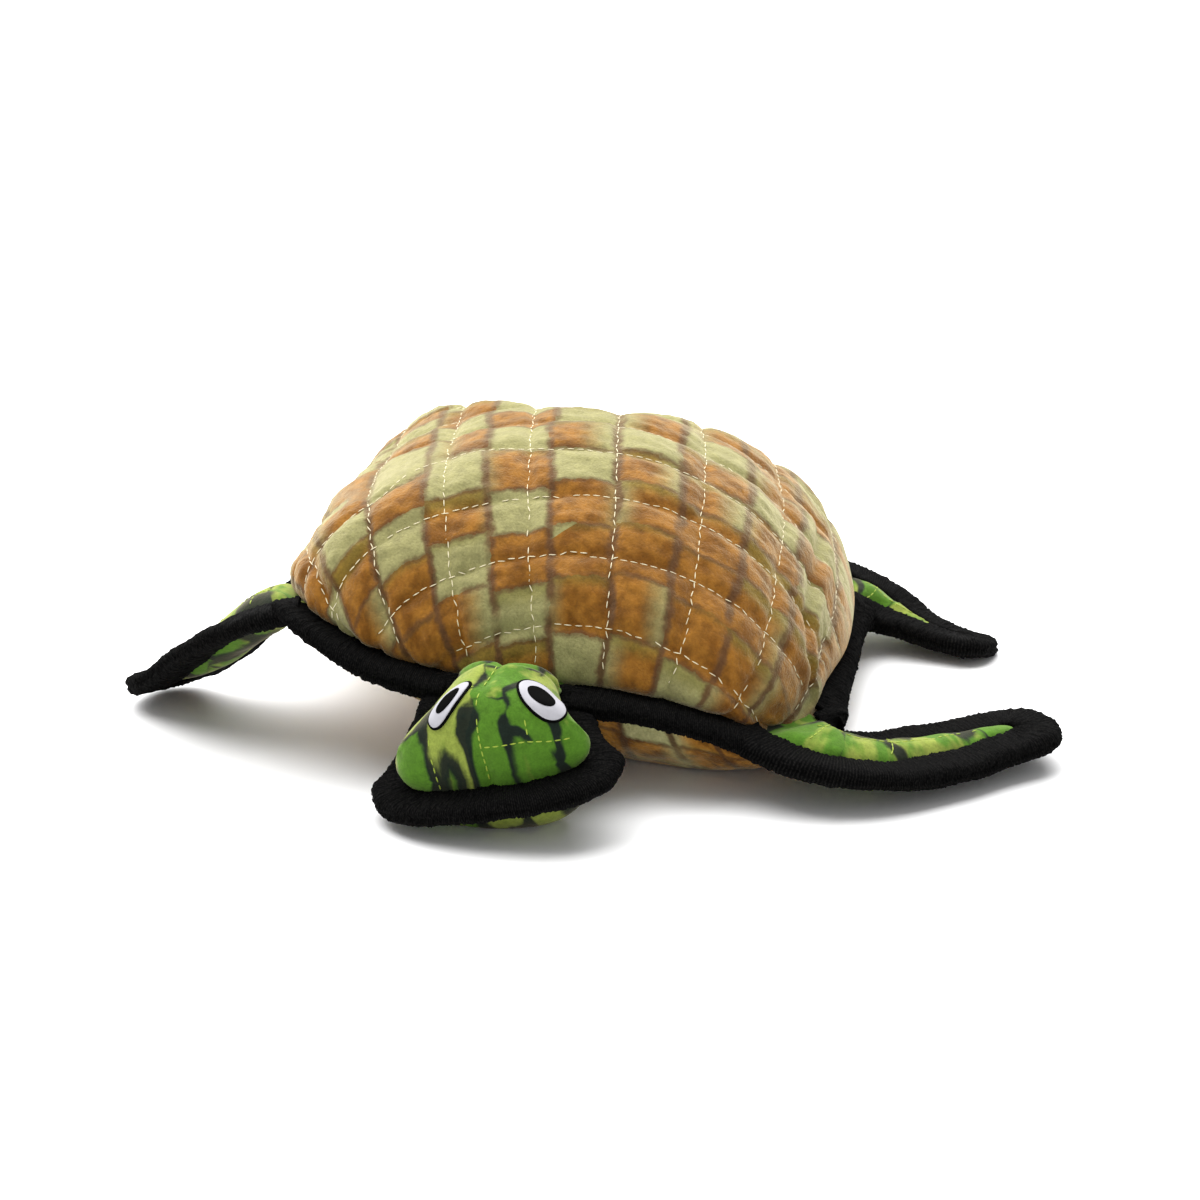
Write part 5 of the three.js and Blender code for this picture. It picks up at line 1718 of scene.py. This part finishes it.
        def rails(inset: float, height: float) -> Points:
            """Points of one lane of the tape.

            Args:
                inset: distance inwards from the edge.
                height: height over the fold's middle.

            Returns:
                Points in millimetres.
            """
            along, wide = self.outline(inset, LIMB_TAPE_FROM, steps)
            lane_u = np.interp(stations, run, np.concatenate([along, along[-2::-1]]))
            lane_s = np.interp(stations, run, np.concatenate([wide, -wide[-2::-1]]))
            return self.blade.at(lane_u, lane_s, height)

        return self.tape.sweep(f"{self.sizes.name}_binding", rails, stations)

    def join(self, obj: bpy.types.Object, material: bpy.types.Material,
             nodes: tuple[str, ...] = ()) -> None:
        """Dresses a piece and bakes its placement into its mesh.

        Args:
            obj: the piece.
            material: its finish.
            nodes: CAD nodes that it replaces.
        """
        shade_smooth(obj)
        dress(obj, material)
        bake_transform(obj)
        if nodes:
            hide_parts(*nodes)
        log.info("%s: %d faces", obj.name, len(obj.data.polygons))

    def relief(self, u: Points, s: Points, is_top: Points) -> Points:
        """Height of seams and folds over the plain cover."""
        return 0.0 * u

    def seam_lines(self) -> list[Points]:
        """Stitched lines on the upper face, as rows of distance along, distance across and height.

        Returns:
            One array for each line, in millimetres.
        """
        length, wide = self.side_length, self.half_width(np.array([self.side_length * 0.3]))[0]
        middle = [(8.0, 0.1 * wide), (0.45 * length, -0.12 * wide), (0.9 * length, 0.05 * wide)]
        first = [(12.0, -0.6 * wide), (15.0, 0.6 * wide)]
        second = [(0.42 * length, -0.6 * wide), (0.47 * length, 0.6 * wide)]
        return [np.array([(u, s, self.sizes.top_rise) for u, s in line]) for line in (middle, first, second)]

    def sew(self, cover: bpy.types.Object) -> None:
        """Lays the stitches of the seams on the cover.

        Args:
            cover: the limb's cover.
        """
        paths = []
        for line in self.seam_lines():
            share = np.linspace(0.0, len(line) - 1.0, 60)
            u, s, h = (np.interp(share, np.arange(len(line)), line[:, k]) for k in range(3))
            paths.append(self.blade.at(u, s, h))
        stitches = Seam(length=2.4, gap=1.0, width=0.6).lay(f"{self.sizes.name}_stitches", cover, paths)
        self.join(stitches, self.wardrobe.chartreuse)

    def cover_nodes(self) -> tuple[str, ...]:
        """CAD nodes that the cover stands for."""
        return tuple(f"{self.sizes.name}_{part}" for part in ("top", "underside", "stuffing"))

    def build(self) -> bpy.types.Object:
        """Makes the cover, its stitches and the tape, and returns the cover.

        Returns:
            The cover.
        """
        cover = self.build_cover()
        self.join(cover, self.wardrobe.limb, self.cover_nodes())
        self.sew(cover)
        self.join(self.build_tape(), self.wardrobe.tape, (f"{self.sizes.name}_tape",))
        return cover


@dataclass
class Head(Limb):
    """Head with a high crown, a full chin and two sewn-on eyes."""

    ridge_to: float = 0.72
    crown_at_neck: float = 0.86
    chin_at_neck: float = 0.6
    print_share: float = 1.0
    ridge_to_chin: float = 0.9
    crown_peak: float = 1.15
    crown_lean: float = 0.08
    seam_sunk: float = 1.5
    seam_width: float = 2.0
    neck_folds: tuple[tuple[float, float, float], ...] = ((9.5, 1.8, 1.3), (3.5, 1.6, 1.0))

    def peak(self, side: Side) -> float:
        """The crown comes to a soft ridge along its centre seam."""
        return self.crown_peak if side is Side.TOP else 1.0

    def lean(self, side: Side, u: Points, height: Points) -> Points:
        """The crown leans a little to the turtle's left."""
        return self.crown_lean * height if side is Side.TOP else 0.0 * height

    def ridge(self, side: Side) -> tuple[float, float]:
        """Where the ridge of the crown or of the chin begins and ends."""
        share = self.ridge_to if side is Side.TOP else self.ridge_to_chin
        return self.side_length * self.sizes.ridge_from, self.side_length * share

    def rise(self, side: Side, u: Points) -> Points:
        """Height of the crown, or depth of the chin, over the blade.

        Args:
            side: upper or under side.
            u: distances along the limb.

        Returns:
            Heights in millimetres.
        """
        if side is Side.TOP:
            share = np.clip(u / (self.side_length * self.ridge_to), 0.0, 1.0)
            return self.sizes.top_rise * (self.crown_at_neck + (1.0 - self.crown_at_neck) * share)
        share = np.clip(u / self.side_length, 0.0, 1.0)
        return self.sizes.under_rise * (self.chin_at_neck + (1.0 - self.chin_at_neck) * share)

    def relief(self, u: Points, s: Points, is_top: Points) -> Points:
        """The crown's centre seam draws in, and the neck folds across.

        Args:
            u: distances along the limb.
            s: distances across the limb.
            is_top: 1 for a point of the crown, 0 for one of the chin.

        Returns:
            Heights in millimetres.
        """
        seam = self.seam_sunk * np.exp(-((s / self.seam_width) ** 2))
        folds = sum(depth * np.exp(-(((u - at) / width) ** 2)) for at, width, depth in self.neck_folds)
        return -(seam + folds) * is_top

    def seam_lines(self) -> list[Points]:
        """Centre seam and the short quilting lines round the face.

        Returns:
            One array for each line, in millimetres.
        """
        return [np.array(line, float) for line in (
            [(13.0, 0.0, 34.0), (46.0, 0.0, 36.0), (52.0, 0.0, 24.0), (54.0, 0.0, 4.0)],
            [(51.5, 1.5, 21.0), (51.0, 18.0, 21.0), (43.0, 34.0, 16.0)],
            [(47.0, 19.0, 29.0), (51.0, 19.0, 20.0)],
            [(45.0, -20.0, 24.0), (52.0, -20.0, 4.0)],
            [(28.0, -9.0, 35.0), (28.0, -1.5, 36.0)],
        )]

    def cover_nodes(self) -> tuple[str, ...]:
        """CAD nodes that the head's cover stands for."""
        return ("head_crown_left", "head_crown_right", "head_chin", "head_stuffing")


@dataclass(frozen=True)
class Patch:
    """Oval cut from smooth cloth and laid on a cover."""

    name: str
    length: float
    width: float
    lift: float
    thickness: float
    corners: int = 48
    rings: int = 6
    ring_width: float = 0.07
    edge_share: float = 0.25
    approach: float = 25.0

    def lay(self, cover: bpy.types.Object, centre: Points, facing: Points, along: Points) -> bpy.types.Object:
        """Cuts the oval and lays it on the cover.

        Args:
            cover: what it is sewn on.
            centre: its middle, in millimetres.
            facing: direction that it is laid from.
            along: direction of its long side.

        Returns:
            The patch.
        """
        bpy.ops.object.select_all(action="DESELECT")
        bpy.ops.mesh.primitive_circle_add(vertices=self.corners, radius=0.5, fill_type="NGON")
        made = bpy.context.object
        made.name = self.name
        bpy.ops.object.mode_set(mode="EDIT")
        bpy.ops.mesh.select_all(action="SELECT")
        for _ in range(self.rings):
            bpy.ops.mesh.inset(thickness=self.ring_width)
        bpy.ops.mesh.poke()
        bpy.ops.mesh.select_all(action="SELECT")
        bpy.ops.transform.resize(value=(self.width * MM, self.length * MM, 1.0))
        bpy.ops.object.mode_set(mode="OBJECT")
        normal = unit(facing)
        ahead = unit(along - normal * float(along @ normal))
        across = np.cross(ahead, normal)
        turn = Matrix(np.column_stack([across, ahead, normal]).tolist()).to_4x4()
        made.matrix_world = Matrix.Translation(Vector((centre + normal * self.approach) * MM)) @ turn
        wrap = made.modifiers.new("Lay", "SHRINKWRAP")
        wrap.target = cover
        wrap.wrap_method = "PROJECT"
        wrap.use_project_z = True
        wrap.use_positive_direction = False
        wrap.use_negative_direction = True
        wrap.offset = self.lift * MM
        wall = made.modifiers.new("Thickness", "SOLIDIFY")
        wall.thickness = self.thickness * MM
        wall.offset = 1.0
        edge = made.modifiers.new("Edge", "BEVEL")
        edge.width = self.edge_share * self.thickness * MM
        edge.segments = 2
        edge.limit_method = "ANGLE"
        apply_modifiers(made)
        bpy.ops.object.transform_apply(location=True, rotation=True, scale=True)
        shade_smooth(made)
        return made


@dataclass(frozen=True)
class Eye:
    """Eye sewn on the crown: a black oval, a white one on it and a black pupil."""

    side: str
    centre: tuple[float, float, float]
    facing: tuple[float, float, float]
    along: tuple[float, float, float]
    pupil_shift: float
    length: float = 21.5
    width: float = 15.0
    rim: float = 0.9
    pupil_length: float = 12.5
    pupil_width: float = 9.0

    def build(self, cover: bpy.types.Object, wardrobe: Wardrobe) -> None:
        """Lays the three patches on the crown.

        Args:
            cover: the head's cover.
            wardrobe: the toy's finishes.
        """
        centre, facing, along = (np.array(v) for v in (self.centre, self.facing, self.along))
        ahead = unit(along)
        rim = Patch(f"eye_rim_{self.side}", self.length + 2 * self.rim, self.width + 2 * self.rim, 0.25, 0.5)
        white = Patch(f"eye_oval_{self.side}", self.length, self.width, 0.45, 0.7)
        pupil = Patch(f"eye_spot_{self.side}", self.pupil_length, self.pupil_width, 1.0, 0.4)
        laid = [(rim, centre, wardrobe.eye_black, ""), (white, centre, wardrobe.eye_white, "eye_white"),
                (pupil, centre + ahead * self.pupil_shift, wardrobe.eye_black, "eye_pupil")]
        for patch, place, material, node in laid:
            made = patch.lay(cover, place, facing, along)
            dress(made, material)
            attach(made, "head")
            if node:
                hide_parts(f"{node}_{self.side}")


def main() -> None:
    """Builds the toy piece by piece."""
    Camera().build()
    wardrobe = Wardrobe()
    Studio().build(wardrobe)
    form = ShellForm()
    head_sizes = LimbSizes("head", 251.2, 277.5, -30, 18, (3.5, -57, -23), (0, -18, -1), 12, 42, 20, 37, 27,
                           taper_power=2.0, ridge_from=0.38)
    head = Head(head_sizes, form, wardrobe, cheek=(11.0, 3.0), last_turn=72.0)
    flippers = [Limb(LimbSizes(*sizes), form, wardrobe) for sizes in (
        ("left_front_flipper", -50.8, -28.5, -20, 38, (98, 38, -8), (36, 18, 5), -3, 12.5, 13, 11, 4),
        ("left_rear_flipper", 29, 45, -26, 24, (62, -15, -18.5), (27, -7, 0), -14, 8.5, 10, 6, 6),
        ("right_rear_flipper", 128.8, 148.4, -30, 24, (-18, 66, -50), (0, 28, -10), 0, 13, 12, 9, 7),
        ("right_front_flipper", 197, 219, -16, 26, (-70, 16, -49), (-28, 10, -11), 10, 13, 13, 8, 10),
    )]
    Body(form, [limb.root for limb in (head, *flippers)], wardrobe).build()
    for strip in (
        ("left_side", -28.5, 29.0, ((0.0, 4.0), (0.25, 6.5), (0.8, 6.0), (1.0, 1.0))),
        ("rear", 45.0, 128.8),
        ("right_side", 148.4, 197.0, ((0.0, 6.0), (0.3, 9.0), (1.0, 9.0))),
        ("front_right", 219.0, 251.2),
        ("front_left", 277.5, 309.2),
    ):
        BodyTape(form, *strip).build(wardrobe)
    for flipper in flippers:
        flipper.build()
    crown = head.build()
    Eye("left", (9.0, -149.0, 53.5), (0.45, -0.5, 0.74), (-17.1, 9.4, 11.7), 1.0).build(crown, wardrobe)
    Eye("right", (-24.2, -151.0, 49.5), (-0.68, -0.45, 0.58), (12.7, 12.6, 16.0), 1.0,
        width=9.0, pupil_width=5.5).build(crown, wardrobe)
    for node, material in (("squeaker_pocket", wardrobe.pocket), ("squeaker_bulb", wardrobe.vinyl),
                           ("squeaker_reed", wardrobe.reed)):
        dress(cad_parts[node], material)


if __name__ == "__main__":
    main()
